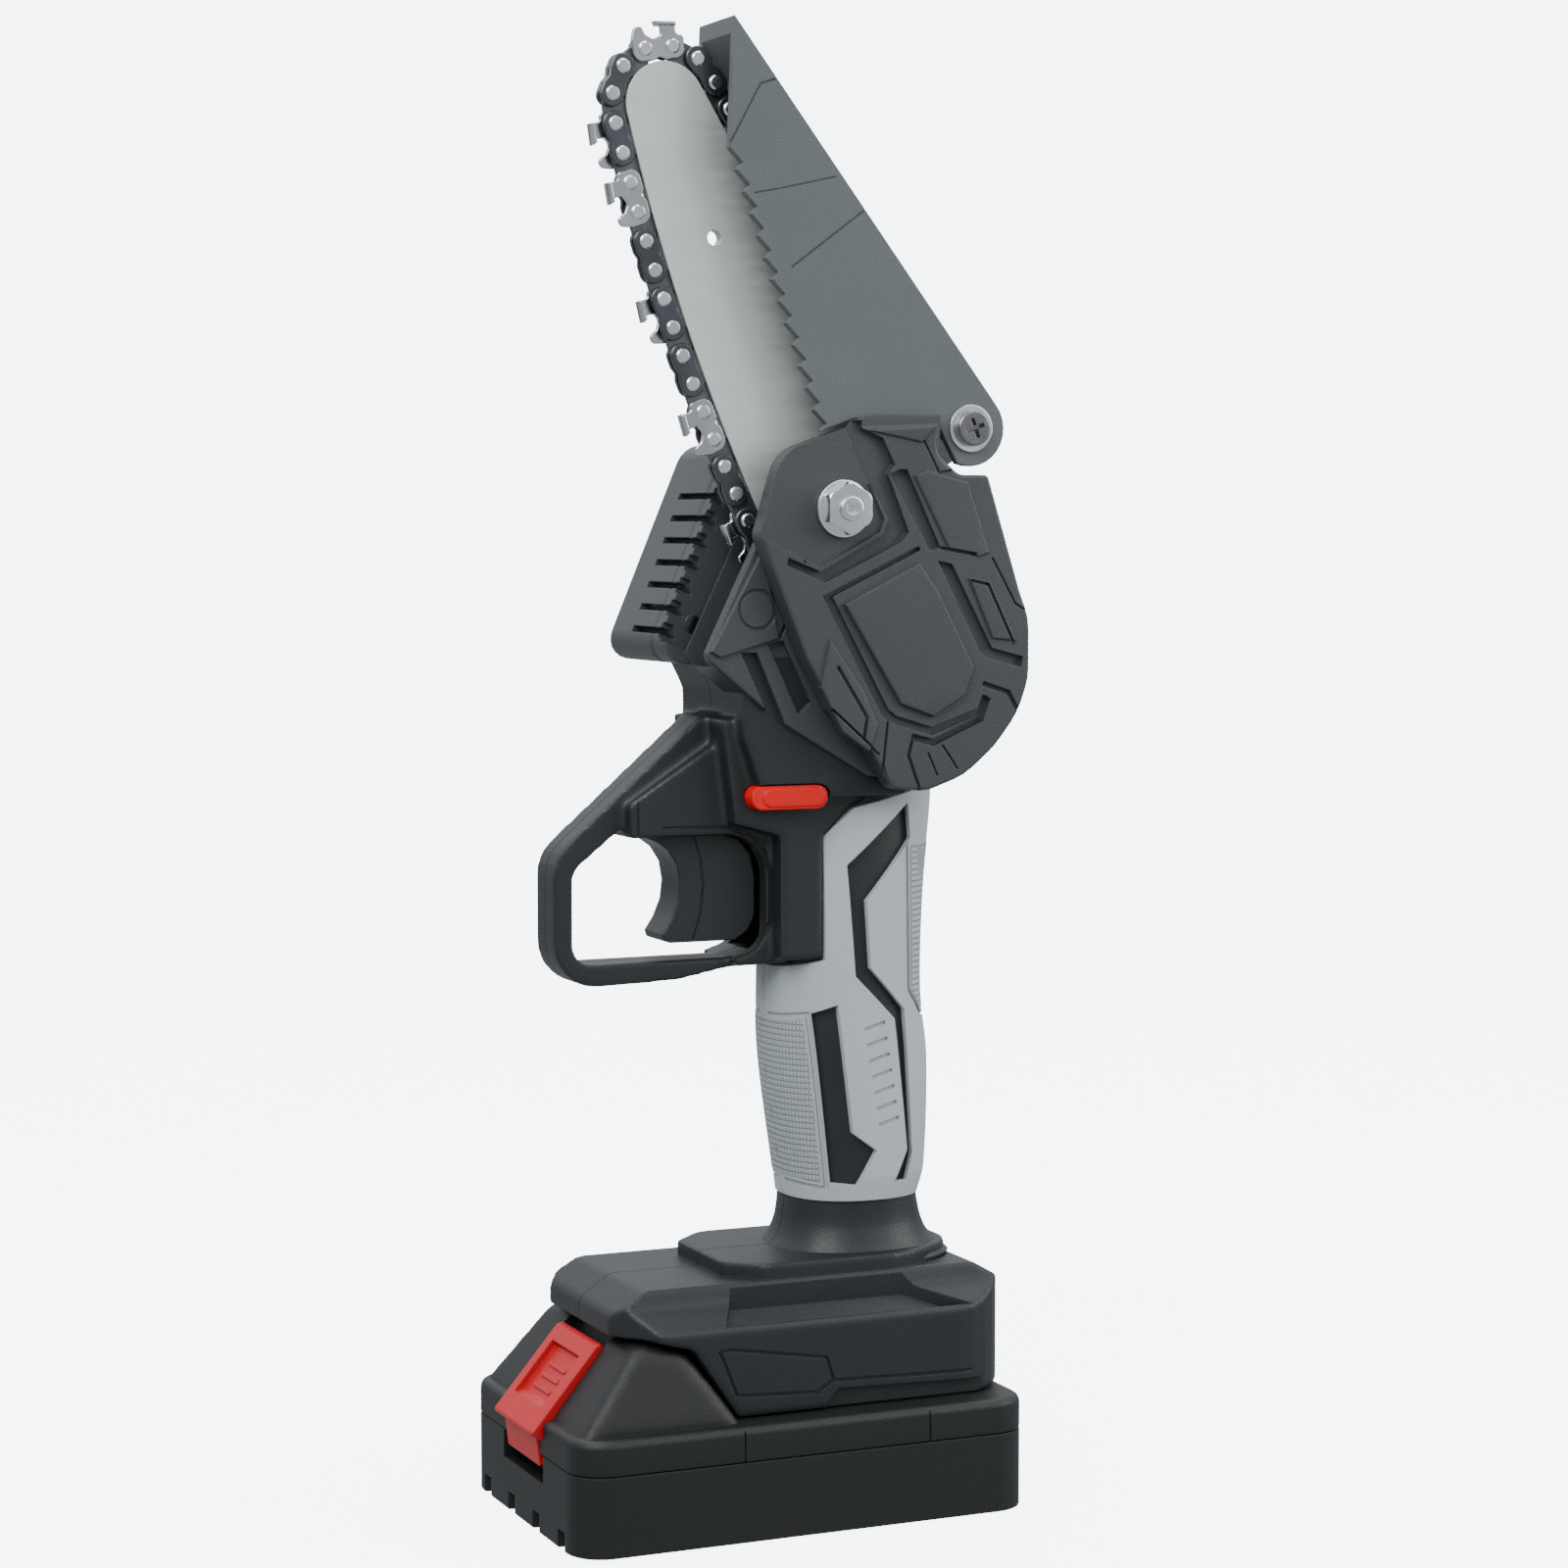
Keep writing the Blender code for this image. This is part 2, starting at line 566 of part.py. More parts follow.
def make_guard():
    right_way = Vector((16.8 - APEX[0], 283.5 - APEX[1])).normalized()
    inward = Vector((right_way.y, -right_way.x))
    top = Vector((-14.1, 297.8))
    foot = Vector((7.1, 238.2))
    teeth = []
    for k in range(GUARD_TEETH):
        start = top + (foot - top) * k / GUARD_TEETH
        root = top + (foot - top) * (k + 0.8) / GUARD_TEETH
        teeth += [tuple(start), (root.x + 1.7, root.y + 0.6)]
    boss = arc(PIVOT, 8.3, -112, 40, 8)
    outline = [APEX, *teeth, tuple(foot), (15.0, 241.0), (34.5, 241.3), *boss]
    guard = slab("chain_guard", outline, GUARD_NEAR, GUARD_FAR, BLACK)
    bevel(guard, 0.4)
    edge = Vector(APEX) + inward * 2.2
    high = edge - right_way * 40
    low = edge + right_way * 92
    pocket = [tuple(high), tuple(low), (70.0, low.y), (70.0, 225.0), (-60.0, 225.0), (-60.0, high.y)]
    cut(guard, slab("guard_channel", pocket, GUARD_NEAR + GUARD_WALL, GUARD_FAR - GUARD_WALL))
    cut(guard, rod("guard_bore", PIVOT, 2.3, -30.0, 0.0, sides=16))
    screw = rod("guard_screw", PIVOT, 2.0, GUARD_NEAR - 0.5, -0.8, NICKEL, sides=16)
    join(screw, rod("guard_screw_head", PIVOT, 3.9, GUARD_NEAR - 2.6, GUARD_NEAR - 0.3, sides=20))
    nut = rod("guard_nut", PIVOT, 3.8, GUARD_FAR + 0.3, GUARD_FAR + 2.6, ZINC, sides=6)
    cut(nut, rod("guard_nut_bore", PIVOT, 2.15, -10.0, 5.0, sides=16))
    coil("guard_spring", PIVOT, "Y", 4.6, 0.45, -21.6, -18.9, 2.5, GEAR_STEEL)


# ---------------------------------------------------------------- housings


GRIP_RINGS = [
    (68.0, 24.2, 15.6, 15.6), (74.0, 24.6, 16.8, 16.4), (99.0, 23.2, 18.9, 17.0),
    (114.0, 22.1, 18.2, 17.0), (137.0, 22.8, 18.2, 16.6), (156.0, 24.6, 18.4, 15.8),
    (166.0, 25.0, 18.4, 15.0),
]
SCREWS = [(-15.0, 196.5), (46.6, 213.0), (-4.0, 172.5), (-26.0, 49.0)]


def core_rings(inward):
    return [(z, x, a - inward, b - inward) for z, x, a, b in GRIP_RINGS]


def make_solid_body():
    """The outer form of both housing halves together, without any hollows."""
    head = [
        (-25.0, 188.0, 5), (-4.6, 236.5, 6), (31.5, 234.5, 3), (34.0, 229.0, 4), (45.0, 228.5),
        (52.6, 203.0), (54.6, 197.0), (54.6, 184.0), (51.0, 177.8), (45.0, 172.0), (38.6, 165.2),
        (31.0, 162.0), (16.0, 164.0), (-14.0, 181.0),
    ]
    body = slab("body_head", rounded(head), -8.0, 27.0)
    near = [
        (-18.6, 189.6, 2), (-6.4, 214.6, 1), (1.0, 214.0), (40.0, 227.0), (45.0, 228.0), (52.3, 203.2),
        (54.3, 197.2), (54.3, 184.2), (50.7, 178.0), (44.7, 172.2), (38.3, 165.4), (31.2, 162.3),
        (20.0, 163.0), (-2.0, 176.0),
    ]
    join(body, slab("near_wall", rounded(near), -20.9, -7.0))
    neck = [(-17.0, 192.0), (-12.7, 180.3, 5), (-15.2, 174.0), (-8.0, 158.3), (29.5, 158.8), (40.0, 168.0),
            (28.0, 192.0)]
    join(body, bevel(slab("neck", rounded(neck), -19.6, 17.6), 2.0))
    trigger_zone = [
        (-31.5, 163.4), (-31.5, 151.3), (0.4, 151.3, 9), (0.4, 125.3, 5), (-7.0, 123.0), (-7.0, 121.3),
        (6.5, 121.3), (6.5, 171.0), (-14.0, 178.0),
    ]
    join(body, slab("trigger_zone", rounded(trigger_zone), -9.6, 9.6))
    back_zone = [(-9.0, 153.0), (1.8, 150.0), (1.8, 122.5), (12.0, 122.6), (12.0, 149.9), (18.7, 156.3), (22.0, 157.3),
                 (22.0, 176.0), (-12.0, 176.0)]
    join(body, slab("back_zone", back_zone, -14.8, 14.8))
    arm = [
        (0.0, 178.0), (-13.5, 176.2), (-47.8, 146.3, 9), (-47.8, 117.4, 10), (-19.0, 118.4), (-7.0, 120.7),
        (4.0, 120.9), (5.0, 122.9), (-43.4, 122.7, 4), (-43.4, 143.2, 4), (-32.2, 152.2), (-20.0, 155.0), (0.0, 160.0),
    ]
    join(body, slab("finger_guard", rounded(arm), -6.0, 6.0))
    collar = [
        (54.0, 25.0, 27.0, 20.0), (57.5, 24.8, 22.5, 18.0), (60.5, 24.6, 18.8, 16.3), (64.5, 24.5, 16.6, 15.3),
        (67.5, 24.3, 15.6, 15.1), (67.8, 24.3, 13.8, 13.5),
    ]
    join(body, loft("grip_core", [*collar, *core_rings(2.2)], sides=24))
    join(body, rod("pod", MOTOR, POD_RADIUS, 24.0, MOTOR_END, sides=32))
    ear_root = [(37.0, 238.0), (49.4, 236.0), (49.0, 224.0), (52.0, 206.0), (41.0, 220.0)]
    join(body, slab("ear_root", ear_root, -18.6, -7.6))
    join(body, rod("ear", PIVOT, 7.4, -18.6, -6.6, sides=20))
    return body


def make_foot():
    profile = [
        (-40.5, 43.6), (-40.5, 48.4, 3), (-33.0, 53.4, 3), (46.0, 53.4, 4), (53.5, 49.0, 6), (57.5, 42.0, 6),
        (57.5, 27.5, 2), (49.5, 25.6), (-14.2, 25.6), (-24.6, 41.2), (-34.0, 43.6),
    ]
    foot = slab("foot", rounded(profile), -29.5, 29.5)
    plan = [(-41.0, -18.0), (-32.0, -28.6, 4), (50.0, -28.6, 14), (58.0, 0.0, 40), (50.0, 28.6, 14), (-32.0, 28.6, 4),
            (-41.0, 18.0)]
    keep_inside(foot, slab("foot_plan", rounded(plan, 4), 20.0, 60.0, turn=ALONG_Z))
    bevel(foot, 1.2)
    deck = [(-10.0, -13.0), (-2.0, -21.0), (44.0, -21.0, 12), (44.0, 21.0, 12), (-2.0, 21.0), (-10.0, 13.0)]
    join(foot, bevel(slab("foot_deck", rounded(deck), 51.0, 57.2, turn=ALONG_Z), 1.0))
    return foot


def make_housings():
    body = make_solid_body()
    foot = make_foot()
    join(body, foot)

    # sprocket chamber, open to the cover and to the front
    deep = [(-40.0, 192.6), (-3.0, 192.6, 2), (6.0, 182.0), (12.0, 172.5, 6), (26.0, 165.8, 6),
            (36.0, 167.5), (43.0, 174.6), (50.0, 182.0), (50.0, 197.0), (46.5, 210.0), (40.8, 221.5), (36.0, 228.0),
            (36.0, 245.0), (-40.0, 245.0)]
    cut(body, slab("chamber_deep", rounded(deep), -18.3, -8.0))
    wide = [(-2.0, 225.0), (-2.0, 216.0), (9.0, 186.0), (13.5, 176.5), (21.0, 167.0), (31.0, 166.4),
            (36.0, 168.0), (43.0, 175.0), (50.0, 182.4), (50.0, 196.6), (46.3, 209.8), (40.5, 221.0), (35.8, 228.0),
            (35.8, 246.0), (-2.0, 246.0)]
    cut(body, slab("chamber_wide", wide, -24.0, -18.0))
    join(body, rod("bar_pad", STUD, 8.0, BAR_PLANE + BAR_THICK / 2 + GAP, -7.0, sides=20))
    join(body, rod("bearing_pad", SPROCKET, 10.6, -9.6, -7.0, sides=24))

    # gear and motor space
    cut(body, rod("gear_space", SPROCKET, 18.4, -5.3, 11.3, sides=32))
    cut(body, rod("pinion_space", MOTOR, 6.5, -5.3, 12.0, sides=16))
    plate_space = arc(MOTOR, 18.7, -20, 230, 14) + arc(SPROCKET, 11.4, 200, 360, 10)
    cut(body, slab("plate_space", plate_space, 9.0, 15.4))
    cut(body, rod("motor_space", MOTOR, MOTOR_RADIUS + 0.4, 14.0, 70.0, sides=32))
    cut(body, rod("bearing_seat", SPROCKET, BEARING_RADIUS + 0.1, -7.8, 0.0, sides=24))
    cut(body, rod("shaft_hole", SPROCKET, 5.6, -20.0, 0.0, sides=16))
    cut(body, rod("stud_hole", STUD, 3.3, -20.0, -5.0, sides=20))
    cut(body, rod("stud_head_space", STUD, 6.0, -6.9, -1.0, sides=6))
    cut(body, rod("ear_bore", PIVOT, 2.3, -30.0, 0.0, sides=16))
    cut(body, slab("nut_clearance", arc(PIVOT, 9.6, 0, 345, 23), -6.2, 3.0))

    # trigger, switch and grip space
    cut(body, box("trigger_slot", (-10.0, -5.4, 126.2), (13.0, 5.4, 151.3)))
    cut(body, box("switch_space", (12.6, -9.6, 124.0), (34.0, 9.6, 151.6)))
    button = [(BUTTON[0] - 6.4, BUTTON[1]), (BUTTON[0] + 6.4, BUTTON[1])]
    cut(body, slab("button_hole", stadium(button, 3.1), -25.0, 25.0))
    cut(body, loft("grip_space", [(40.0, 24.0, 11.0, 10.5), (66.0, 24.2, 11.0, 10.5), (99.0, 23.0, 13.4, 11.6),
                                  (128.0, 22.6, 12.6, 11.4)]))
    # the battery slides in from the front under the foot
    cut(body, box("battery_space", (-60.0, -23.4, 10.0), (48.4, 23.4, 43.4)))
    cut(body, box("lead_space", (22.0, -8.8, 41.0), (46.5, 8.8, 51.5)))

    # screws: a deep counterbore from the far side
    for i, (x, z) in enumerate(SCREWS):
        cut(body, rod(f"screw_hole_{i}", (x, z), 1.8, -5.4, 10.0, sides=12))
        cut(body, rod(f"screw_sink_{i}", (x, z), 3.7, 5.4, 40.0, sides=12))
        screw = rod(f"housing_screw_{i + 1}", (x, z), 1.5, -5.0, 6.0, NICKEL, sides=10)
        join(screw, rod(f"screw_head_{i}", (x, z), 3.1, 5.7, 7.8, sides=12))

    for name, low, high in (("left_housing", -60.0, -0.15), ("right_housing", 0.15, 90.0)):
        half = baked(name, body, BLACK)
        keep_inside(half, box(name + "_side", (-80.0, low, 0.0), (90.0, high, 350.0)), "MANIFOLD")
    body.hide_render = True
    body.display_type = "WIRE"


def stadium(ends, radius):
    """A slot outline round two points at one height."""
    (x0, z), (x1, _) = ends
    return arc((x1, z), radius, -90, 90, 6) + arc((x0, z), radius, 90, 270, 6)


def make_end_cap():
    low = MOTOR_END + GAP
    cap = rod("motor_end_cap", MOTOR, POD_RADIUS, low, low + 5.0, BLACK, sides=32)
    bevel(cap, 1.5, 2)
    cut(cap, rod("cap_inside", MOTOR, 16.9, low - 2, low + 3.0, sides=28))
    for k in range(-2, 3):
        z = MOTOR[1] + 5.0 * k
        half = 9.0 if abs(k) == 2 else 11.5
        cut(cap, box(f"cap_vent_{k}", (MOTOR[0] - half, low - 3, z - 1.1), (MOTOR[0] + half, low + 9, z + 1.1)))
    for i, side in enumerate((-1, 1)):
        spot = (MOTOR[0] + side * 19.0 * math.cos(math.radians(45)), MOTOR[1] + 19.0 * math.sin(math.radians(45)))
        cut(cap, rod(f"cap_screw_hole_{i}", spot, 1.35, low - 2, low + 9, sides=10))
        screw = rod(f"cap_screw_{i + 1}", spot, 0.95, low + 0.5, low + 5.6, NICKEL, sides=10)
        join(screw, rod(f"cap_screw_head_{i}", spot, 2.1, low + 5.3, low + 6.7, sides=12))


def make_grips():
    """The soft sleeve: one skin on each half, with windows that show the housing."""
    sleeve = loft("sleeve", GRIP_RINGS, sides=24)
    inside = [(60.0, 24.4, 13.9, 13.9), *core_rings(1.9), (175.0, 25.0, 16.5, 13.1)]
    cut(sleeve, loft("sleeve_inside", inside, sides=24))
    front = [(-20.0, 117.6), (3.6, 120.2), (12.4, 122.2), (12.4, 149.6), (19.0, 155.8), (37.0, 160.0),
             (60.0, 163.0), (60.0, 175.0), (-20.0, 175.0)]
    cut(sleeve, slab("sleeve_front", rounded(front), -30.0, 30.0))
    upper = [(31.8, 156.3), (33.0, 148.8), (21.3, 135.5), (22.3, 120.2), (31.2, 111.5), (33.5, 80.0), (29.5, 76.0),
             (28.2, 108.8), (18.7, 118.5), (17.0, 143.5)]
    lower = [(9.2, 110.9), (14.4, 112.4), (17.8, 84.0), (23.6, 79.2), (19.3, 71.8), (14.0, 72.6)]
    for i, window in enumerate((upper, lower)):
        for side, low, high in ((0, -30.0, -6.0), (1, 6.0, 30.0)):
            cut(sleeve, slab(f"window_{i}_{side}", window, low, high))
    for name, low, high in (("left_grip", -60.0, -0.15), ("right_grip", 0.15, 60.0)):
        half = baked(name, sleeve, GREY)
        keep_inside(half, box(name + "_side", (-80.0, low, 0.0), (90.0, high, 350.0)))
    sleeve.hide_render = True
    sleeve.display_type = "WIRE"


def make_controls():
    front = arc((-33.7, TRIGGER_AXIS_Z), 14.6, 50.5, -50.5, 8)
    outline = [(-16.0, 150.7), *front, (-20.0, 126.6), (6.0, 126.8), (6.0, 150.5)]
    trigger = slab("trigger", outline, -4.9, 4.9, DARK)
    bevel(trigger, 0.7)
    rod("switch_plunger", (0.0, TRIGGER_AXIS_Z), 1.8, 6.3, 17.0, DARK, sides=12, axis="X")
    coil("trigger_spring", (0.0, TRIGGER_AXIS_Z), "X", 3.0, 0.35, 6.3, 13.1, 4, GEAR_STEEL)
    switch = box("switch_block", (13.4, -7.5, 128.0), (28.0, 7.5, 149.5), DARK)
    cut(switch, rod("switch_bore", (0.0, TRIGGER_AXIS_Z), 2.2, 10.0, 26.0, sides=12, axis="X"))
    ends = [(BUTTON[0] - 6.4, BUTTON[1]), (BUTTON[0] + 6.4, BUTTON[1])]
    bevel(slab("lock_button", stadium(ends, 2.75), -19.2, 14.0, RED), 0.5)
    for i, (look, side) in enumerate(((LEAD_RED, 1), (DARK, -1))):
        route = [(20.0, 4.0 * side, 127.4), (20.4, 4.6 * side, 118.0), (22.0, 5.0 * side, 96.0),
                 (24.0, 5.0 * side, 72.0), (29.0, 6.0 * side, 54.0), (36.0, 6.5 * side, 47.5), (42.5, 6.5 * side, 45.0)]
        wire(f"battery_lead_{i + 1}", route, 1.0, look)


# ---------------------------------------------------------------- battery


def plate_outline(long_half, wide_half, radius, x=0.0):
    corners = [(x - long_half, -wide_half, radius), (x + long_half, -wide_half, radius)]
    corners += [(x + long_half, wide_half, radius), (x - long_half, wide_half, radius)]
    return rounded(corners)


def make_battery():
    half_x = BATTERY_LENGTH / 2
    half_y = BATTERY_WIDTH / 2
    tray = slab("battery_tray", plate_outline(half_x, half_y, 8), 0.0, PARTING, BLACK, turn=ALONG_Z)
    bevel(tray, 1.2)
    cut(tray, slab("tray_inside", plate_outline(half_x - 2.4, half_y - 2.4, 6), 2.6, 30.0, turn=ALONG_Z))
    for k in range(-2, 3):
        y = 9.0 * k
        notch = [(-60.0, -4.0), (-48.6, -4.0), (-56.0, 5.5), (-60.0, 5.5)]
        cut(tray, slab(f"tray_notch_{k}", notch, y - 2.0, y + 2.0))
    cut(tray, box("tray_latch_window", (-60.0, -LATCH_WINDOW, 12.5), (-50.0, LATCH_WINDOW, 20.0)))

    top = slab("battery_top", plate_outline(half_x, half_y, 8), PARTING + GAP, 25.2, BLACK, turn=ALONG_Z)
    bevel(top, 1.8, 2)
    front = [(-52.4, 24.0), (-37.2, 42.9), (-34.2, 43.0), (-25.3, 40.8), (-14.8, 25.4), (-13.8, 24.0)]
    block = slab("battery_slope", front, -32.4, 32.4)
    for vert in block.data.vertices:
        vert.co.y *= 1.0 - 0.18 * (vert.co.z / MM - 24.0) / 19.0
    join(top, bevel(block, 1.2))
    join(top, bevel(box("battery_deck", (-30.0, -22.4, 22.0), (36.0, 22.4, 42.9)), 1.0))
    cut(top, slab("top_inside", plate_outline(half_x - 2.6, half_y - 2.6, 6), 10.0, 22.4, turn=ALONG_Z))
    cut(top, box("deck_inside", (-30.0, -19.4, 20.0), (33.6, 19.4, 40.2)))
    for y in (-12.0, 0.0, 12.0):
        cut(top, box(f"blade_slot_{y:.0f}", (18.0, y - 1.3, 29.0), (40.0, y + 1.3, 45.0)))
    for side in (-1, 1):
        cut(top, box(f"rail_{side}", (-13.0, side * 22.9 - 1.0, 36.5), (40.0, side * 22.9 + 1.0, 38.5)))
    cut(top, box("latch_pocket_low", (-60.0, -LATCH_WINDOW, 10.0), (-50.9, LATCH_WINDOW, 27.0)))
    pocket = [(-62.0, 15.0), (-49.9, 15.0), (-49.9, 23.0), (-34.0, 40.0), (-38.6, 44.5), (-62.0, 44.5)]
    cut(top, slab("latch_pocket", pocket, -LATCH_WINDOW, LATCH_WINDOW))

    button = [(-56.4, 22.4), (-52.4, 20.0), (-50.6, 19.8), (-50.6, 24.0), (-37.0, 38.4), (-39.8, 40.8),
              (-41.2, 40.4)]
    latch = slab("latch_button", button, -LATCH_HALF, LATCH_HALF, RED)
    bevel(latch, 0.6)
    thumb = [(-51.8, 30.0), (-45.0, 36.9), (-46.5, 40.0), (-55.0, 32.0)]
    cut(latch, slab("latch_thumb", thumb, -LATCH_HALF + 2.8, LATCH_HALF - 2.8))
    coil("latch_spring", (0.0, 17.0), "X", 2.0, 0.3, -51.5, -49.9, 2, GEAR_STEEL)

    for k in range(5):
        rod(f"cell_{k + 1}", (CELL_PITCH * (k - 2), 12.0), CELL_RADIUS, -32.5, 32.5, CELL_WRAP, sides=16)
    board = box("cell_board", (-28.0, -18.0, 24.0), (32.0, 18.0, 25.6), BOARD)

    terminal = box("terminal_block", (38.4, -20.0, 29.0), (48.0, 20.0, 43.0), DARK)
    for i, y in enumerate((-12.0, 0.0, 12.0)):
        cut(terminal, box(f"terminal_slot_{i}", (36.0, y - 0.8, 31.6), (46.0, y + 0.8, 40.4)))
        box(f"terminal_blade_{i + 1}", (22.0, y - 0.45, 32.0), (45.6, y + 0.45, 40.0), COPPER)

    for i, (x, y) in enumerate(((-45.0, -28.6), (45.0, -28.6), (45.0, 28.6), (-45.0, 28.6))):
        cut(tray, rod(f"tray_screw_hole_{i}", (x, y), 1.8, -1.0, 5.0, sides=12, axis="Z"))
        cut(tray, rod(f"tray_screw_sink_{i}", (x, y), 3.3, -1.0, 1.6, sides=12, axis="Z"))
        screw = rod(f"battery_screw_{i + 1}", (x, y), 1.2, 0.6, 2.5, NICKEL, sides=10, axis="Z")
        join(screw, rod(f"battery_screw_head_{i}", (x, y), 2.9, 0.2, 1.3, sides=12, axis="Z"))


def hang(empty_name, spot, pieces):
    """Parent pieces to an empty on their joint's axis, leaving them where they are."""
    empty = bpy.data.objects.new(empty_name, None)
    SAW.objects.link(empty)
    empty.empty_display_size = 5 * MM
    empty.location = Vector(spot) * MM
    for name in pieces:
        piece = bpy.data.objects[name]
        piece.parent = empty
        piece.matrix_parent_inverse = Matrix.Translation(empty.location).inverted()


def hang_moving_pieces():
    cells = [f"cell_{k + 1}" for k in range(5)]
    screws = [f"battery_screw_{k + 1}" for k in range(4)]
    wheel = ["sprocket_shaft", "drive_sprocket", "sprocket_clip", "drive_gear", "chain_wrap"]
    hang("guard_axis", (PIVOT[0], BAR_PLANE, PIVOT[1]), ["chain_guard"])
    hang("sprocket_axis", (SPROCKET[0], BAR_PLANE, SPROCKET[1]), wheel)
    hang("motor_axis", (MOTOR[0], MOTOR_FACE, MOTOR[1]), ["motor_shaft", "motor_armature", "pinion"])
    hang("nose_axis", (NOSE[0], BAR_PLANE, NOSE[1]), ["chain_nose"])
    front = chain_point(SIDE_LENGTH / 2, 0.0)
    back = chain_point(1.5 * SIDE_LENGTH + TURN_LENGTH, 0.0)
    hang("chain_front_run", (front[0], BAR_PLANE, front[1]), ["chain_front"])
    hang("chain_back_run", (back[0], BAR_PLANE, back[1]), ["chain_back"])
    hang("trigger_run", (6.0, 0.0, TRIGGER_AXIS_Z), ["trigger", "switch_plunger"])
    hang("button_run", (BUTTON[0], 0.0, BUTTON[1]), ["lock_button"])
    hang("battery_run", (0.0, 0.0, PARTING), ["battery_tray", "battery_top", "cell_board", *cells, *screws])
    hang("latch_run", (-46.0, 0.0, 30.0), ["latch_button"])


make_bar()
make_chain()
make_drive()
make_cover()
make_guard()
make_housings()
make_end_cap()
make_grips()
make_controls()
make_battery()
hang_moving_pieces()
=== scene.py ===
import json
import math

import bmesh
import bpy
from mathutils import Matrix, Vector


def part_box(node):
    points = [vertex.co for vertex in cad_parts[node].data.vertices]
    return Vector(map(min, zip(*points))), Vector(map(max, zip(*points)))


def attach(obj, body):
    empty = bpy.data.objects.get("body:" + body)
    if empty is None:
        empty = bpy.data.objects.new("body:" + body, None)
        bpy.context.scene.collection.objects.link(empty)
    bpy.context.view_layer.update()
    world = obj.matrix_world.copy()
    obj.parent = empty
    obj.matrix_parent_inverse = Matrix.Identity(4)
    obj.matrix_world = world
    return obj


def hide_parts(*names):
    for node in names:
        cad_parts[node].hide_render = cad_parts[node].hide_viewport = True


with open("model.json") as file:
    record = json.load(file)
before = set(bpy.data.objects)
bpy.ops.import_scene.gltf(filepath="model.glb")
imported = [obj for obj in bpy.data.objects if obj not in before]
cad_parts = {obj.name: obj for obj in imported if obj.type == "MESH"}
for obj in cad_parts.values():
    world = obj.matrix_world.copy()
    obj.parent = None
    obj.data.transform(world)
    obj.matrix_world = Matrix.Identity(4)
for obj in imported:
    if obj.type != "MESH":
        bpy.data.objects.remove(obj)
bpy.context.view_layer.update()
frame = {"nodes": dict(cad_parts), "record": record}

# Lengths in this script are in millimetres, unless a line says metres
mm = 0.001
joints = {joint["name"]: joint for joint in frame["record"]["behaviour"]["joints"]}


def jointSpot(name):
    x, y, z = joints[name]["pos_m"]
    return x / mm, z / mm


sprocketSpot = jointSpot("sprocket_spin")
noseSpot = jointSpot("nose_turn_spin")
motorSpot = jointSpot("motor_spin")
hingeSpot = jointSpot("guard_hinge")
print("frame loaded")


# ---- camera, light and floor

cameraSetup = {"place": (-0.3065, -0.7199, 0.2166), "turn": -23.66, "down": 4.09, "lens": 81.0}


def lookingBack(turn, down):
    turn, down = math.radians(turn), math.radians(down)
    return Vector((math.sin(turn) * math.cos(down), -math.cos(turn) * math.cos(down), math.sin(down)))


def makeCamera():
    data = bpy.data.cameras.new("camera")
    data.lens = cameraSetup["lens"]
    data.sensor_width = 36.0
    camera = bpy.data.objects.new("camera", data)
    bpy.context.scene.collection.objects.link(camera)
    camera.location = cameraSetup["place"]
    back = lookingBack(cameraSetup["turn"], cameraSetup["down"])
    camera.rotation_euler = back.to_track_quat("Z", "Y").to_euler()
    bpy.context.scene.camera = camera


studio = {
    "keyPlace": (-0.75, -0.75, 1.05), "keySize": 0.9, "keyPower": 17.0,
    "sidePlace": (0.9, -0.55, 0.55), "sideSize": 0.8, "sidePower": 8.0,
    "topPlace": (0.1, 0.35, 1.2), "topSize": 1.0, "topPower": 12.0,
    "aim": (0.0, 0.0, 0.16), "skyStrength": 1.0,
    "skyStops": (0.0, 0.36, 0.46, 0.54, 0.66, 0.98),
    "skyColours": ((0.55, 0.57, 0.60), (0.50, 0.52, 0.55), (0.36, 0.375, 0.40), (0.55, 0.565, 0.59),
                   (1.0, 1.03, 1.08), (1.35, 1.38, 1.42)),
    "paper": (0.62, 0.66, 0.70), "glow": (0.90, 0.945, 1.0), "glowStrength": 6.2,
    "sweepReach": 3.2, "sweepBend": 1.6, "sweepHigh": 2.0,
}


def makeLamp(name, place, size, power):
    data = bpy.data.lights.new(name, "AREA")
    data.size = size
    data.energy = power
    lamp = bpy.data.objects.new(name, data)
    bpy.context.scene.collection.objects.link(lamp)
    lamp.location = place
    away = Vector(place) - Vector(studio["aim"])
    lamp.rotation_euler = away.to_track_quat("Z", "Y").to_euler()


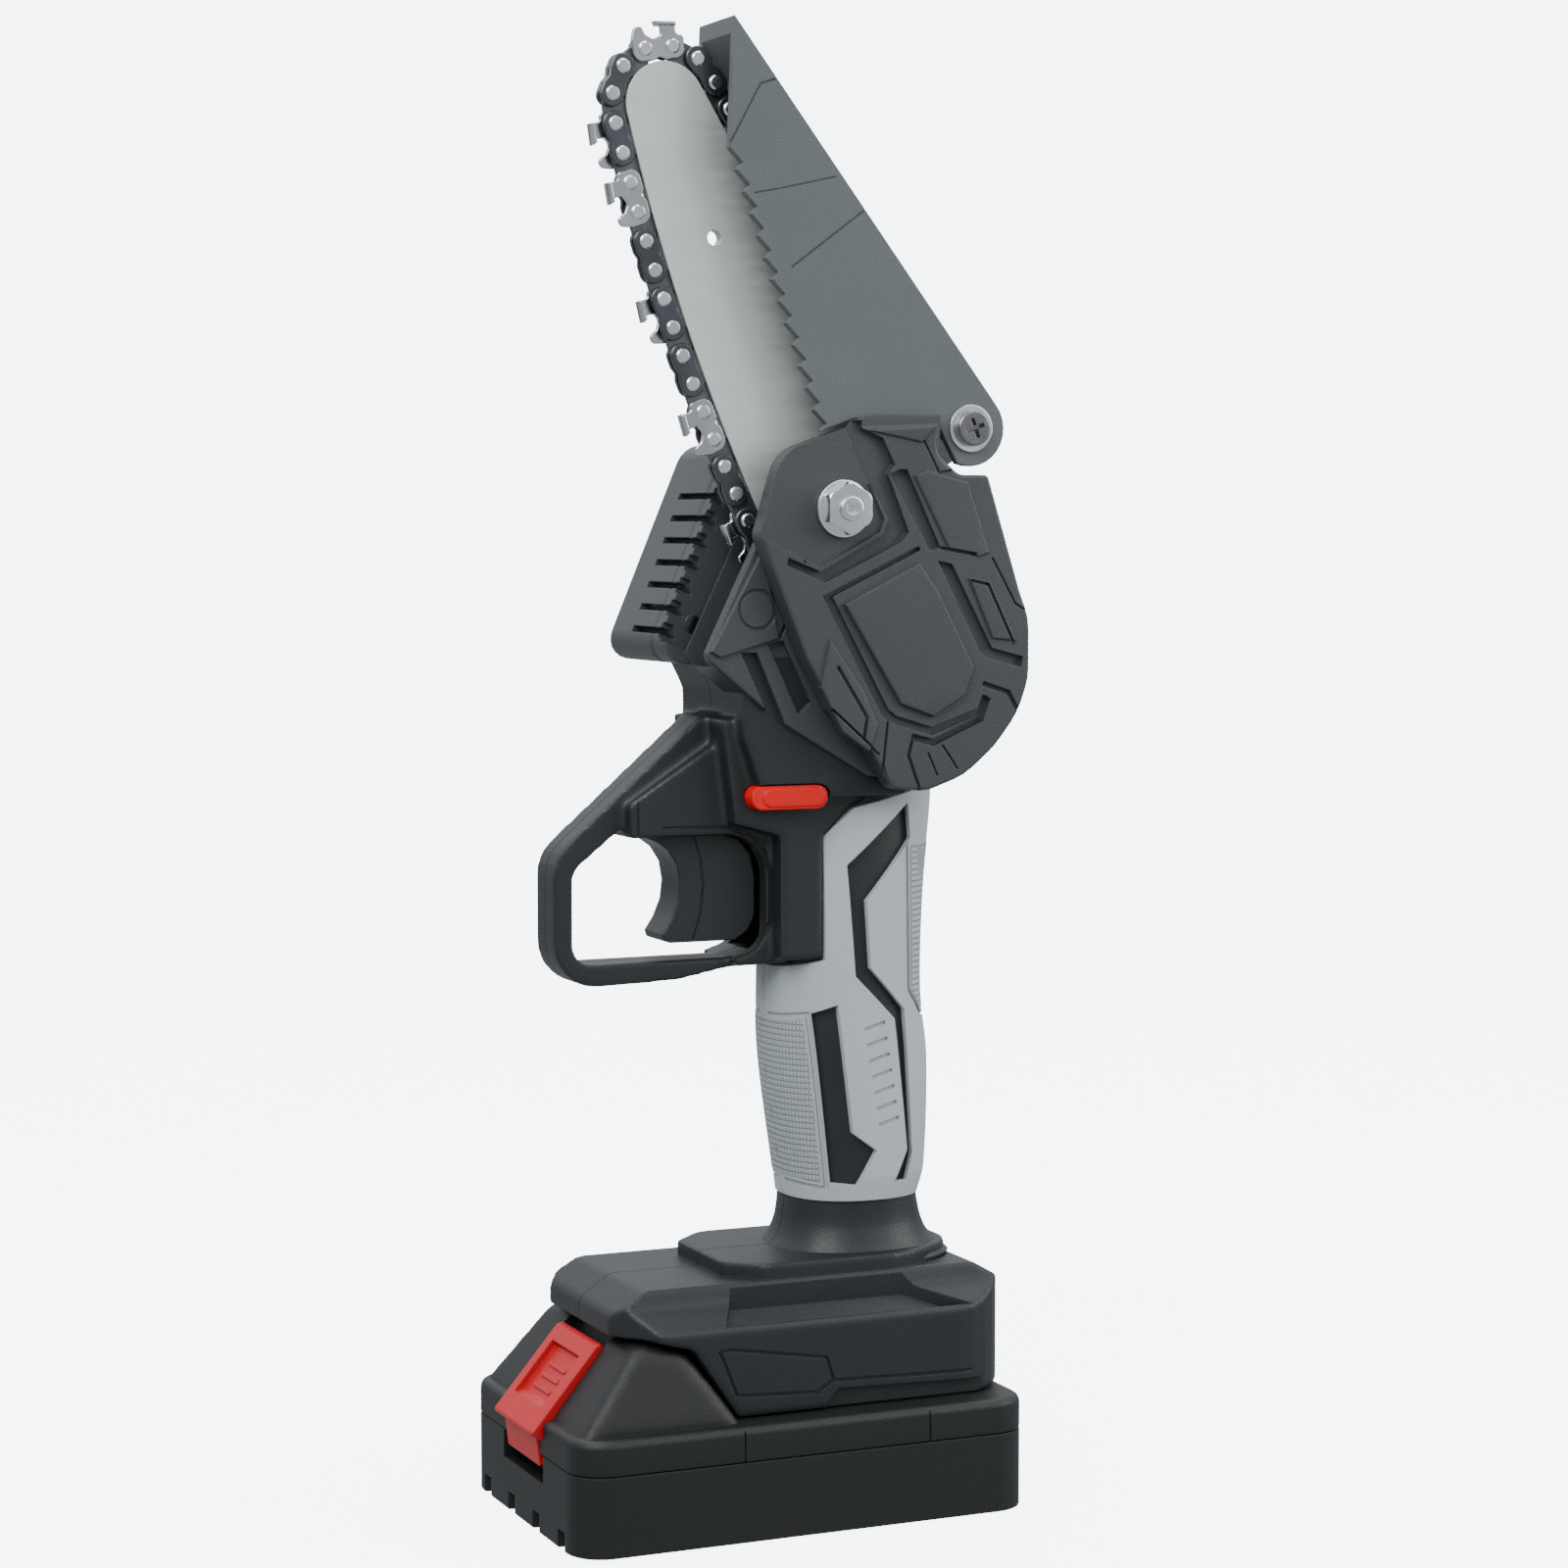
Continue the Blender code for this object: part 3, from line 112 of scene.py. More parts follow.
def makeStudio():
    for name in ("key", "side", "top"):
        makeLamp(name, studio[name + "Place"], studio[name + "Size"], studio[name + "Power"])
    world = bpy.data.worlds.new("studio")
    world.use_nodes = True
    sky = world.node_tree.nodes["Background"]
    sky.inputs["Strength"].default_value = studio["skyStrength"]
    # the room is bright overhead and dim near the floor line, which gives bright metal its dark edges
    nodes, links = world.node_tree.nodes, world.node_tree.links
    where = nodes.new("ShaderNodeTexCoord")
    split = nodes.new("ShaderNodeSeparateXYZ")
    links.new(where.outputs["Generated"], split.inputs["Vector"])
    ramp = nodes.new("ShaderNodeValToRGB")
    ramp.color_ramp.interpolation = "EASE"
    lift = nodes.new("ShaderNodeMapRange")
    lift.inputs["From Min"].default_value = -1.0
    links.new(split.outputs["Z"], lift.inputs["Value"])
    links.new(lift.outputs["Result"], ramp.inputs["Fac"])
    stops = ramp.color_ramp.elements
    for spot, colour in zip(studio["skyStops"], studio["skyColours"]):
        stop = stops[0] if spot == studio["skyStops"][0] else stops.new(spot)
        stop.position = spot
        stop.color = (*colour, 1.0)
    links.new(ramp.outputs["Color"], sky.inputs["Color"])
    bpy.context.scene.world = world
    # a round paper sweep: floor, quarter turn and wall in one skin
    form = bmesh.new()
    reach, bend = studio["sweepReach"], studio["sweepBend"]
    profile = [form.verts.new((x, 0.0, z)) for x, z in ((0.0, 0.0), (reach - bend, 0.0))]
    edges = [form.edges.new(profile)]
    turned = bmesh.ops.spin(form, geom=[profile[1]], cent=(reach - bend, 0.0, bend), axis=(0.0, -1.0, 0.0),
                            dvec=(0.0, 0.0, 0.0), angle=math.radians(90), steps=16, use_merge=False)
    lip = [part for part in turned["geom_last"] if isinstance(part, bmesh.types.BMVert)]
    raised = bmesh.ops.extrude_vert_indiv(form, verts=lip)["verts"]
    bmesh.ops.translate(form, verts=raised, vec=(0.0, 0.0, studio["sweepHigh"]))
    bmesh.ops.spin(form, geom=form.verts[:] + form.edges[:], cent=(0.0, 0.0, 0.0), axis=(0.0, 0.0, 1.0),
                   dvec=(0.0, 0.0, 0.0), angle=math.tau, steps=96, use_merge=True)
    bmesh.ops.remove_doubles(form, verts=form.verts, dist=1e-5)
    bmesh.ops.recalc_face_normals(form, faces=form.faces)
    if min(form.faces, key=lambda f: f.calc_center_median().z).normal.z < 0:
        bmesh.ops.reverse_faces(form, faces=form.faces)
    mesh = bpy.data.meshes.new("paper_sweep")
    form.to_mesh(mesh)
    form.free()
    mesh.shade_smooth()
    floor = bpy.data.objects.new("paper_sweep", mesh)
    bpy.context.scene.collection.objects.link(floor)
    floor.location.z = -0.0002
    floor.visible_diffuse = False
    floor.visible_glossy = False
    paint = bpy.data.materials.new("paper")
    paint.use_nodes = True
    shader = paint.node_tree.nodes["Principled BSDF"]
    shader.inputs["Base Color"].default_value = (*studio["paper"], 1.0)
    shader.inputs["Roughness"].default_value = 0.8
    shader.inputs["Specular IOR Level"].default_value = 0.0
    shader.inputs["Emission Color"].default_value = (*studio["glow"], 1.0)
    shader.inputs["Emission Strength"].default_value = studio["glowStrength"]
    mesh.materials.append(paint)


makeCamera()
makeStudio()
print("camera and studio ready")


# ---- materials

def startMaterial(name, colour, roughness, metallic=0.0):
    made = bpy.data.materials.new(name)
    made.use_nodes = True
    shader = made.node_tree.nodes["Principled BSDF"]
    shader.inputs["Base Color"].default_value = (*colour, 1.0)
    shader.inputs["Roughness"].default_value = roughness
    shader.inputs["Metallic"].default_value = metallic
    shader.inputs["Specular IOR Level"].default_value = 0.5 if metallic else 0.36
    return made, made.node_tree.nodes, made.node_tree.links, shader


def objectSpace(nodes, links, stretch=(1.0, 1.0, 1.0), turn=(0.0, 0.0, 0.0)):
    space = nodes.new("ShaderNodeTexCoord")
    mapping = nodes.new("ShaderNodeMapping")
    mapping.inputs["Scale"].default_value = stretch
    mapping.inputs["Rotation"].default_value = turn
    links.new(space.outputs["Object"], mapping.inputs["Vector"])
    return mapping.outputs["Vector"]


def noiseNode(nodes, links, space, scale, detail=2.0):
    noise = nodes.new("ShaderNodeTexNoise")
    noise.inputs["Scale"].default_value = scale
    noise.inputs["Detail"].default_value = detail
    links.new(space, noise.inputs["Vector"])
    return noise.outputs["Fac"]


def remap(nodes, links, value, low, high, fromLow=0.3, fromHigh=0.7):
    span = nodes.new("ShaderNodeMapRange")
    span.inputs["From Min"].default_value = fromLow
    span.inputs["From Max"].default_value = fromHigh
    span.inputs["To Min"].default_value = low
    span.inputs["To Max"].default_value = high
    links.new(value, span.inputs["Value"])
    return span.outputs["Result"]


def tint(nodes, links, value, dark, light):
    mix = nodes.new("ShaderNodeMix")
    mix.data_type = "RGBA"
    mix.inputs[6].default_value = (*dark, 1.0)
    mix.inputs[7].default_value = (*light, 1.0)
    links.new(value, mix.inputs[0])
    return mix.outputs[2]


def bumpFrom(nodes, links, shader, height, depth, strength=1.0, edge=0.0):
    bump = nodes.new("ShaderNodeBump")
    bump.inputs["Distance"].default_value = depth * mm
    bump.inputs["Strength"].default_value = strength
    links.new(height, bump.inputs["Height"])
    if edge:
        rounding = nodes.new("ShaderNodeBevel")
        rounding.samples = 4
        rounding.inputs["Radius"].default_value = edge * mm
        links.new(rounding.outputs["Normal"], bump.inputs["Normal"])
    links.new(bump.outputs["Normal"], shader.inputs["Normal"])


def moulded(name, colour, roughness, grain, depth, edge=0.35):
    made, nodes, links, shader = startMaterial(name, colour, roughness)
    space = objectSpace(nodes, links)
    fine = noiseNode(nodes, links, space, 1000.0 / grain, 3.0)
    broad = noiseNode(nodes, links, space, 28.0, 3.0)
    spread = tint(nodes, links, broad, [c * 0.86 for c in colour], [c * 1.14 for c in colour])
    links.new(spread, shader.inputs["Base Color"])
    links.new(remap(nodes, links, fine, roughness - 0.07, roughness + 0.07), shader.inputs["Roughness"])
    bumpFrom(nodes, links, shader, fine, depth, 1.0, edge)
    return made


def rubber(name, colour, roughness, cell, depth):
    made, nodes, links, shader = startMaterial(name, colour, roughness)
    space = objectSpace(nodes, links)
    cells = nodes.new("ShaderNodeTexVoronoi")
    cells.inputs["Scale"].default_value = 1000.0 / cell
    links.new(space, cells.inputs["Vector"])
    broad = noiseNode(nodes, links, space, 35.0, 4.0)
    spread = tint(nodes, links, broad, [c * 0.9 for c in colour], [c * 1.1 for c in colour])
    links.new(spread, shader.inputs["Base Color"])
    shader.inputs["Sheen Weight"].default_value = 0.12
    bumpFrom(nodes, links, shader, cells.outputs["Distance"], depth, 1.0, 0.4)
    return made


def padRubber(name, colour, roughness):
    # fine square pimples, with painted shade in the valleys between them
    made, nodes, links, shader = startMaterial(name, colour, roughness)
    space = objectSpace(nodes, links, (1.0, 1.0, 1.0))
    split = nodes.new("ShaderNodeSeparateXYZ")
    links.new(space, split.inputs["Vector"])
    mirrored = nodes.new("ShaderNodeMath")
    mirrored.operation = "ABSOLUTE"
    links.new(split.outputs["Y"], mirrored.inputs[0])
    around = nodes.new("ShaderNodeMath")
    around.operation = "ADD"
    links.new(split.outputs["X"], around.inputs[0])
    links.new(mirrored.outputs[0], around.inputs[1])
    waves = []
    for line in (around.outputs[0], split.outputs["Z"]):
        wave = nodes.new("ShaderNodeMath")
        wave.operation = "MULTIPLY"
        wave.inputs[1].default_value = math.tau / (1.3 * mm)
        links.new(line, wave.inputs[0])
        turn = nodes.new("ShaderNodeMath")
        turn.operation = "SINE"
        links.new(wave.outputs[0], turn.inputs[0])
        waves.append(turn.outputs[0])
    low = nodes.new("ShaderNodeMath")
    low.operation = "MINIMUM"
    links.new(waves[0], low.inputs[0])
    links.new(waves[1], low.inputs[1])
    height = remap(nodes, links, low.outputs[0], 0.0, 1.0, -0.9, 0.1)
    # painted shade: the valleys between the pimples are tinted darker and the pimple tops a touch lighter, following
    # the bump height
    links.new(tint(nodes, links, height, [c * 0.72 for c in colour], [c * 1.05 for c in colour]), shader.inputs["Base Color"])
    bumpFrom(nodes, links, shader, height, 0.22, 1.0)
    return made


def ground(name, colour, roughness, stretch, turn, depth, dark=0.82, metallic=1.0, edge=0.2):
    made, nodes, links, shader = startMaterial(name, colour, roughness, metallic)
    space = objectSpace(nodes, links, stretch, turn)
    streak = noiseNode(nodes, links, space, 100.0, 5.0)
    links.new(tint(nodes, links, streak, [c * dark for c in colour], colour), shader.inputs["Base Color"])
    links.new(remap(nodes, links, streak, roughness - 0.06, roughness + 0.1), shader.inputs["Roughness"])
    bumpFrom(nodes, links, shader, streak, depth, 0.6, edge)
    return made


paints = {
    "body": moulded("body_plastic", (0.038, 0.0445, 0.0465), 0.42, 0.45, 0.07),
    "guard": moulded("guard_plastic", (0.086, 0.099, 0.103), 0.46, 0.42, 0.09),
    "handle": moulded("handle_plastic", (0.0135, 0.0162, 0.0172), 0.42, 0.45, 0.06),
    "foot": moulded("foot_plastic", (0.0125, 0.0148, 0.0158), 0.46, 0.42, 0.08),
    "smooth": moulded("smooth_plastic", (0.014, 0.016, 0.0175), 0.32, 0.6, 0.015),
    "trigger": moulded("trigger_plastic", (0.016, 0.0185, 0.0195), 0.38, 0.5, 0.03),
    "pack": moulded("pack_plastic", (0.0065, 0.0078, 0.0085), 0.5, 0.4, 0.07),
    "grip": rubber("grip_rubber", (0.36, 0.40, 0.408), 0.62, 0.55, 0.05),
    "gripPad": padRubber("grip_pad_rubber", (0.36, 0.40, 0.408), 0.66),
    "red": moulded("red_plastic", (0.60, 0.004, 0.003), 0.34, 0.7, 0.012),
    "latchRed": moulded("latch_plastic", (0.42, 0.005, 0.009), 0.42, 0.7, 0.015),
    "bar": ground("bar_steel", (0.56, 0.60, 0.575), 0.46, (1.0, 1.0, 6.0), (0.0, 0.4, 0.0), 0.006, 0.97, 0.6),
    "strap": ground("blued_steel", (0.12, 0.13, 0.145), 0.26, (1.0, 1.0, 1.0), (0.0, 0.0, 0.0), 0.01, 0.7, 0.9),
    "link": ground("drive_link_steel", (0.16, 0.165, 0.175), 0.34, (1.0, 1.0, 1.0), (0.0, 0.0, 0.0), 0.01, 0.7, 0.95),
    "cutter": ground("chromed_steel", (0.66, 0.67, 0.69), 0.16, (1.0, 1.0, 1.0), (0.0, 0.0, 0.0), 0.004, 0.8),
    "rivet": ground("rivet_steel", (0.86, 0.87, 0.88), 0.2, (1.0, 1.0, 1.0), (0.0, 0.0, 0.0), 0.006, 0.75),
    "zinc": ground("zinc_plate", (0.90, 0.94, 0.97), 0.17, (1.0, 1.0, 1.0), (0.0, 0.0, 0.0), 0.008, 0.8),
    "nickel": ground("black_nickel", (0.24, 0.24, 0.25), 0.24, (1.0, 1.0, 1.0), (0.0, 0.0, 0.0), 0.006, 0.8),
    "gear": ground("gear_steel", (0.42, 0.42, 0.43), 0.32, (1.0, 5.0, 1.0), (0.0, 0.0, 0.0), 0.01, 0.8),
    "copper": ground("copper_winding", (0.72, 0.33, 0.16), 0.35, (1.0, 8.0, 1.0), (0.0, 0.0, 0.0), 0.03, 0.7),
    "cell": moulded("cell_sleeve", (0.05, 0.20, 0.45), 0.35, 0.8, 0.01),
    "board": moulded("board_mask", (0.02, 0.16, 0.07), 0.35, 0.8, 0.01),
    "leadRed": moulded("lead_insulation", (0.5, 0.02, 0.02), 0.4, 0.8, 0.01),
}

nodePaints = {
    "body": ["left_housing", "right_housing", "motor_end_cap", "sprocket_cover", "chain_guard"],
    "pack": ["battery_tray", "battery_top"],
    "smooth": ["switch_block", "terminal_block", "motor_end_bell", "battery_lead_2", "switch_plunger"],
    "trigger": ["trigger"],
    "grip": ["left_grip", "right_grip"],
    "red": ["lock_button"],
    "latchRed": ["latch_button"],
    "bar": ["guide_bar"],
    "strap": ["chain_front", "chain_wrap", "chain_back", "chain_nose"],
    "zinc": ["bar_stud", "cover_nut", "guard_nut", "sprocket_clip", "front_bearing", "rear_bearing", "motor_can"],
    "nickel": ["guard_screw", "cap_screw_1", "cap_screw_2"] + [f"housing_screw_{k + 1}" for k in range(4)]
    + [f"battery_screw_{k + 1}" for k in range(4)],
    "gear": ["sprocket_shaft", "drive_sprocket", "drive_gear", "pinion", "motor_shaft", "gear_plate",
             "guard_spring", "trigger_spring", "latch_spring"],
    "copper": ["motor_armature", "terminal_blade_1", "terminal_blade_2", "terminal_blade_3"],
    "cell": [f"cell_{k + 1}" for k in range(5)],
    "board": ["cell_board"],
    "leadRed": ["battery_lead_1"],
}
for paintName, nodeNames in nodePaints.items():
    for nodeName in nodeNames:
        for materialSlot in frame["nodes"][nodeName].material_slots:
            materialSlot.material = paints[paintName]
print("materials on the frame's nodes")


# ---- small modelling helpers

def plate(outline, near, far, edge=0.0, steps=2, look=0):
    # outline corners are (x, z) or (x, z, radius); the plate fills y near to far
    form = bmesh.new()
    points = [form.verts.new((corner[0] * mm, near * mm, corner[1] * mm)) for corner in outline]
    form.faces.new(points)
    for k, corner in enumerate(outline):
        if len(corner) > 2 and corner[2] > 0:
            here = Vector(corner[:2])
            before = (Vector(outline[k - 1][:2]) - here).normalized()
            after = (Vector(outline[(k + 1) % len(outline)][:2]) - here).normalized()
            turning = math.pi - before.angle(after)
            bmesh.ops.bevel(form, geom=[points[k]], offset=corner[2] * math.tan(turning / 2) * mm,
                            affect="VERTICES", segments=max(2, round(math.degrees(turning) / 15)),
                            profile=0.5, material=-1)
    sides = bmesh.ops.extrude_face_region(form, geom=form.faces[:])
    raised = [part for part in sides["geom"] if isinstance(part, bmesh.types.BMVert)]
    bmesh.ops.translate(form, verts=raised, vec=(0.0, (far - near) * mm, 0.0))
    bmesh.ops.recalc_face_normals(form, faces=form.faces)
    if edge:
        rims = [e for e in form.edges if abs(e.verts[0].co.y - e.verts[1].co.y) < 1e-7]
        bmesh.ops.bevel(form, geom=rims, offset=edge * mm, affect="EDGES", segments=steps, profile=0.5,
                        material=-1)
    for face in form.faces:
        face.material_index = look
    return form


def lying(form):
    # stands an upright plate down flat: its y becomes z
    bmesh.ops.rotate(form, verts=form.verts, matrix=Matrix.Rotation(math.radians(90), 3, "X"))
    bmesh.ops.scale(form, verts=form.verts, vec=(1.0, -1.0, 1.0))
    bmesh.ops.recalc_face_normals(form, faces=form.faces)
    return form


def floorPlate(outline, low, high, edge=0.0, steps=2):
    # the same, for an outline of (x, y) corners between two heights
    return lying(plate(outline, low, high, edge, steps))


def band(route, width):
    # an outline of the given width round an open route of (x, z) points
    spots = [Vector(point) for point in route]
    left, right = [], []
    for k, spot in enumerate(spots):
        ahead = (spots[min(k + 1, len(spots) - 1)] - spots[min(k, len(spots) - 2)]).normalized()
        behind = (spots[max(k, 1)] - spots[max(k - 1, 0)]).normalized()
        along = (ahead + behind).normalized()
        across = Vector((-along.y, along.x)) * width / 2 / max(0.5, along.dot(ahead))
        left.append(tuple(spot + across))
        right.append(tuple(spot - across))
    return left + right[::-1]


def rod(spot, radius, near, far, sides=32, edge=0.0, steps=2):
    form = bmesh.new()
    bmesh.ops.create_cone(form, cap_ends=True, segments=sides, radius1=radius * mm, radius2=radius * mm,
                          depth=(far - near) * mm)
    bmesh.ops.rotate(form, verts=form.verts, matrix=Matrix.Rotation(math.radians(90), 3, "X"))
    bmesh.ops.translate(form, verts=form.verts, vec=(spot[0] * mm, (near + far) / 2 * mm, spot[1] * mm))
    if edge:
        rims = [e for e in form.edges if abs(e.verts[0].co.y - e.verts[1].co.y) < 1e-7]
        bmesh.ops.bevel(form, geom=rims, offset=edge * mm, affect="EDGES", segments=steps, profile=0.5,
                        material=-1)
    return form


def together(*forms):
    whole = forms[0]
    for form in forms[1:]:
        extra = bpy.data.meshes.new("extra")
        form.to_mesh(extra)
        form.free()
        whole.from_mesh(extra)
        bpy.data.meshes.remove(extra)
    return whole


def meshObject(name, form):
    mesh = bpy.data.meshes.new(name)
    form.to_mesh(mesh)
    form.free()
    piece = bpy.data.objects.new(name, mesh)
    bpy.context.scene.collection.objects.link(piece)
    return piece


def fixModifiers(piece):
    graph = bpy.context.evaluated_depsgraph_get()
    done = bpy.data.meshes.new_from_object(piece.evaluated_get(graph))
    piece.modifiers.clear()
    old = piece.data
    piece.data = done
    bpy.data.meshes.remove(old)


def carve(piece, *forms, how="DIFFERENCE"):
    # takes each form out of the piece, or adds or keeps it
    for form in forms:
        bmesh.ops.triangulate(form, faces=[f for f in form.faces if len(f.verts) > 4])
        tool = meshObject("tool", form)
        cut = piece.modifiers.new("cut", "BOOLEAN")
        cut.operation = how
        cut.solver = "MANIFOLD"
        cut.object = tool
        before = len(piece.data.polygons)
        fixModifiers(piece)
        if before and not piece.data.polygons:
            print("carve emptied", piece.name)
        bpy.data.objects.remove(tool)
    return piece


def soften(piece, voxel, rounds, factor=0.5):
    # melts the shells of a piece into one skin
    skin = piece.modifiers.new("skin", "REMESH")
    skin.mode = "VOXEL"
    skin.voxel_size = voxel * mm
    ease = piece.modifiers.new("ease", "SMOOTH")
    ease.factor = factor
    ease.iterations = rounds
    fixModifiers(piece)
    return piece


def finishPiece(piece, paint, body, replaces=(), sharp=28.0):
    piece.data.materials.clear()
    for look in ([paint] if isinstance(paint, str) else paint):
        piece.data.materials.append(paints[look])
    piece.data.shade_smooth()
    piece.data.set_sharp_from_angle(angle=math.radians(sharp))
    steady = piece.modifiers.new("steady", "WEIGHTED_NORMAL")
    steady.keep_sharp = True
    steady.weight = 60
    fixModifiers(piece)
    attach(piece, body)
    if replaces:
        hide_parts(*replaces)
    return piece


def newPiece(name, form, paint, body, replaces=(), sharp=28.0):
    return finishPiece(meshObject(name, form), paint, body, replaces, sharp)


# ---- bar and chain

sawChain = {
    "plane": -14.0, "turnRadius": 12.3, "sideAngle": 9.0, "links": 27, "firstTang": 11.27,
    "rivetGap": 6.37, "strapThick": 1.1, "tangThick": 1.15, "rivetRadius": 1.6, "rivetProud": 0.5,
}
guideBar = {"inset": 3.2, "thick": 3.0, "groove": 1.5, "grooveDepth": 6.8, "used": 0.745,
            "holeDown": 30.0, "holeAcross": 0.6, "holeRadius": 1.65, "edge": 0.22}

downBar = (Vector(sprocketSpot) - Vector(noseSpot)).normalized()
frontOfBar = Vector((downBar.y, -downBar.x))
barReach = (Vector(sprocketSpot) - Vector(noseSpot)).length
sideAngle = math.radians(sawChain["sideAngle"])
turnRadius = sawChain["turnRadius"]
sideRadius = turnRadius + barReach / 2 / math.sin(sideAngle)
sideLength = 2 * sideRadius * sideAngle
turnLength = turnRadius * (math.pi - 2 * sideAngle)
loopLength = 2 * (sideLength + turnLength)
linkPitch = loopLength / sawChain["links"]


def onBar(down, across):
    spot = Vector(noseSpot) + downBar * down + frontOfBar * across
    return spot.x, spot.y


def chainPoint(s, out):
    # s runs from the nose's front tangent down the front, round the sprocket and back up
    s = s % loopLength
    centre = -(sideRadius - turnRadius) * math.cos(sideAngle)
    if s < sideLength:
        angle = s / sideRadius - sideAngle
        return onBar(barReach / 2 + (sideRadius + out) * math.sin(angle), centre + (sideRadius + out) * math.cos(angle))
    s -= sideLength
    if s < turnLength:
        angle = math.pi / 2 - sideAngle - s / turnRadius
        return onBar(barReach + (turnRadius + out) * math.cos(angle), (turnRadius + out) * math.sin(angle))
    s -= turnLength
    if s < sideLength:
        angle = sideAngle - s / sideRadius
        return onBar(barReach / 2 + (sideRadius + out) * math.sin(angle), -centre - (sideRadius + out) * math.cos(angle))
    s -= sideLength
    angle = s / turnRadius - (math.pi / 2 - sideAngle)
    return onBar(-(turnRadius + out) * math.cos(angle), (turnRadius + out) * math.sin(angle))


def barOutline(out, used, tail):
    steps = round(sideLength * used / 3.0)
    front = [chainPoint(sideLength * used * k / steps, out) for k in range(steps + 1)]
    back = [chainPoint(2 * sideLength + turnLength - sideLength * used * k / steps, out) for k in range(steps, -1, -1)]
    nose = [chainPoint(2 * sideLength + turnLength + turnLength * k / 22, out) for k in range(1, 22)]
    return front + [onBar(*spot) for spot in tail] + back + nose


def makeBar():
    half = guideBar["thick"] / 2
    slot = guideBar["groove"] / 2
    middle = sawChain["plane"]
    rail = barOutline(-guideBar["inset"], guideBar["used"], [(108.0, 7.5), (108.0, -7.5)])
    core = barOutline(-guideBar["grooveDepth"], 0.66, [(103.0, 6.0), (103.0, -6.0)])
    hole = onBar(guideBar["holeDown"], guideBar["holeAcross"])
    walls = meshObject("bar_walls", together(
        plate(rail, middle - half, middle - slot, guideBar["edge"]),
        plate(rail, middle + slot, middle + half, guideBar["edge"])))
    middlePart = meshObject("bar_core", plate(core, middle - slot - 0.02, middle + slot + 0.02))
    for piece in (walls, middlePart):
        carve(piece, rod(hole, guideBar["holeRadius"], middle - 4, middle + 4, 40))
        carve(piece, plate(band([onBar(86.0, 0.0), onBar(98.0, 0.0)], 6.6), middle - 4, middle + 4))
        finishPiece(piece, "bar", "body", ["guide_bar"])


def linkFrame(s, gap):
    # maps (along, out) of one link, whose rivets are gap apart, onto the chain's path
    first, last = Vector(chainPoint(s - gap / 2, 0.0)), Vector(chainPoint(s + gap / 2, 0.0))
    along = (last - first).normalized()
    out = Vector((-along.y, along.x))
    if out.dot(Vector(chainPoint(s, 5.0)) - Vector(chainPoint(s, 0.0))) < 0:
        out = -out
    middle = (first + last) / 2

    def place(outline):
        placed = []
        for corner in outline:
            spot = middle + along * corner[0] + out * corner[1]
            placed.append((spot.x, spot.y, *corner[2:]))
        return placed
    return place


linkShapes = {
    "strap": [(-5.9, -2.6, 2.4), (-1.5, -2.6), (0.0, -2.1), (1.5, -2.6), (5.9, -2.6, 2.4),
              (5.9, 2.6, 2.4), (1.5, 2.6), (0.0, 2.1), (-1.5, 2.6), (-5.9, 2.6, 2.4)],
    "tang": [(-5.5, -2.0, 1.2), (-2.6, -2.4), (-1.1, -6.0, 0.4), (0.6, -6.0, 0.4), (2.9, -2.4), (5.5, -2.0, 1.2),
             (5.5, 1.9, 1.4), (2.0, 2.1), (-2.0, 2.1), (-5.5, 1.9, 1.4)],
    "cutter": [(-5.9, -2.6, 2.2), (-1.3, -2.6), (0.0, -1.9), (1.3, -2.6), (5.9, -2.6, 2.2), (6.0, 2.0, 0.8),
               (5.2, 4.6, 1.0), (3.4, 4.9, 1.0), (2.7, 2.9, 0.7), (0.9, 1.7, 1.2), (-0.8, 2.4, 0.8), (-0.9, 4.2),
               (0.2, 5.6), (-4.4, 5.1), (-4.2, 2.5, 0.8), (-5.9, 2.2, 0.8)],
    "topPlate": [(-4.4, 4.2), (-0.2, 4.6), (0.2, 5.6), (-4.4, 5.1)],
}


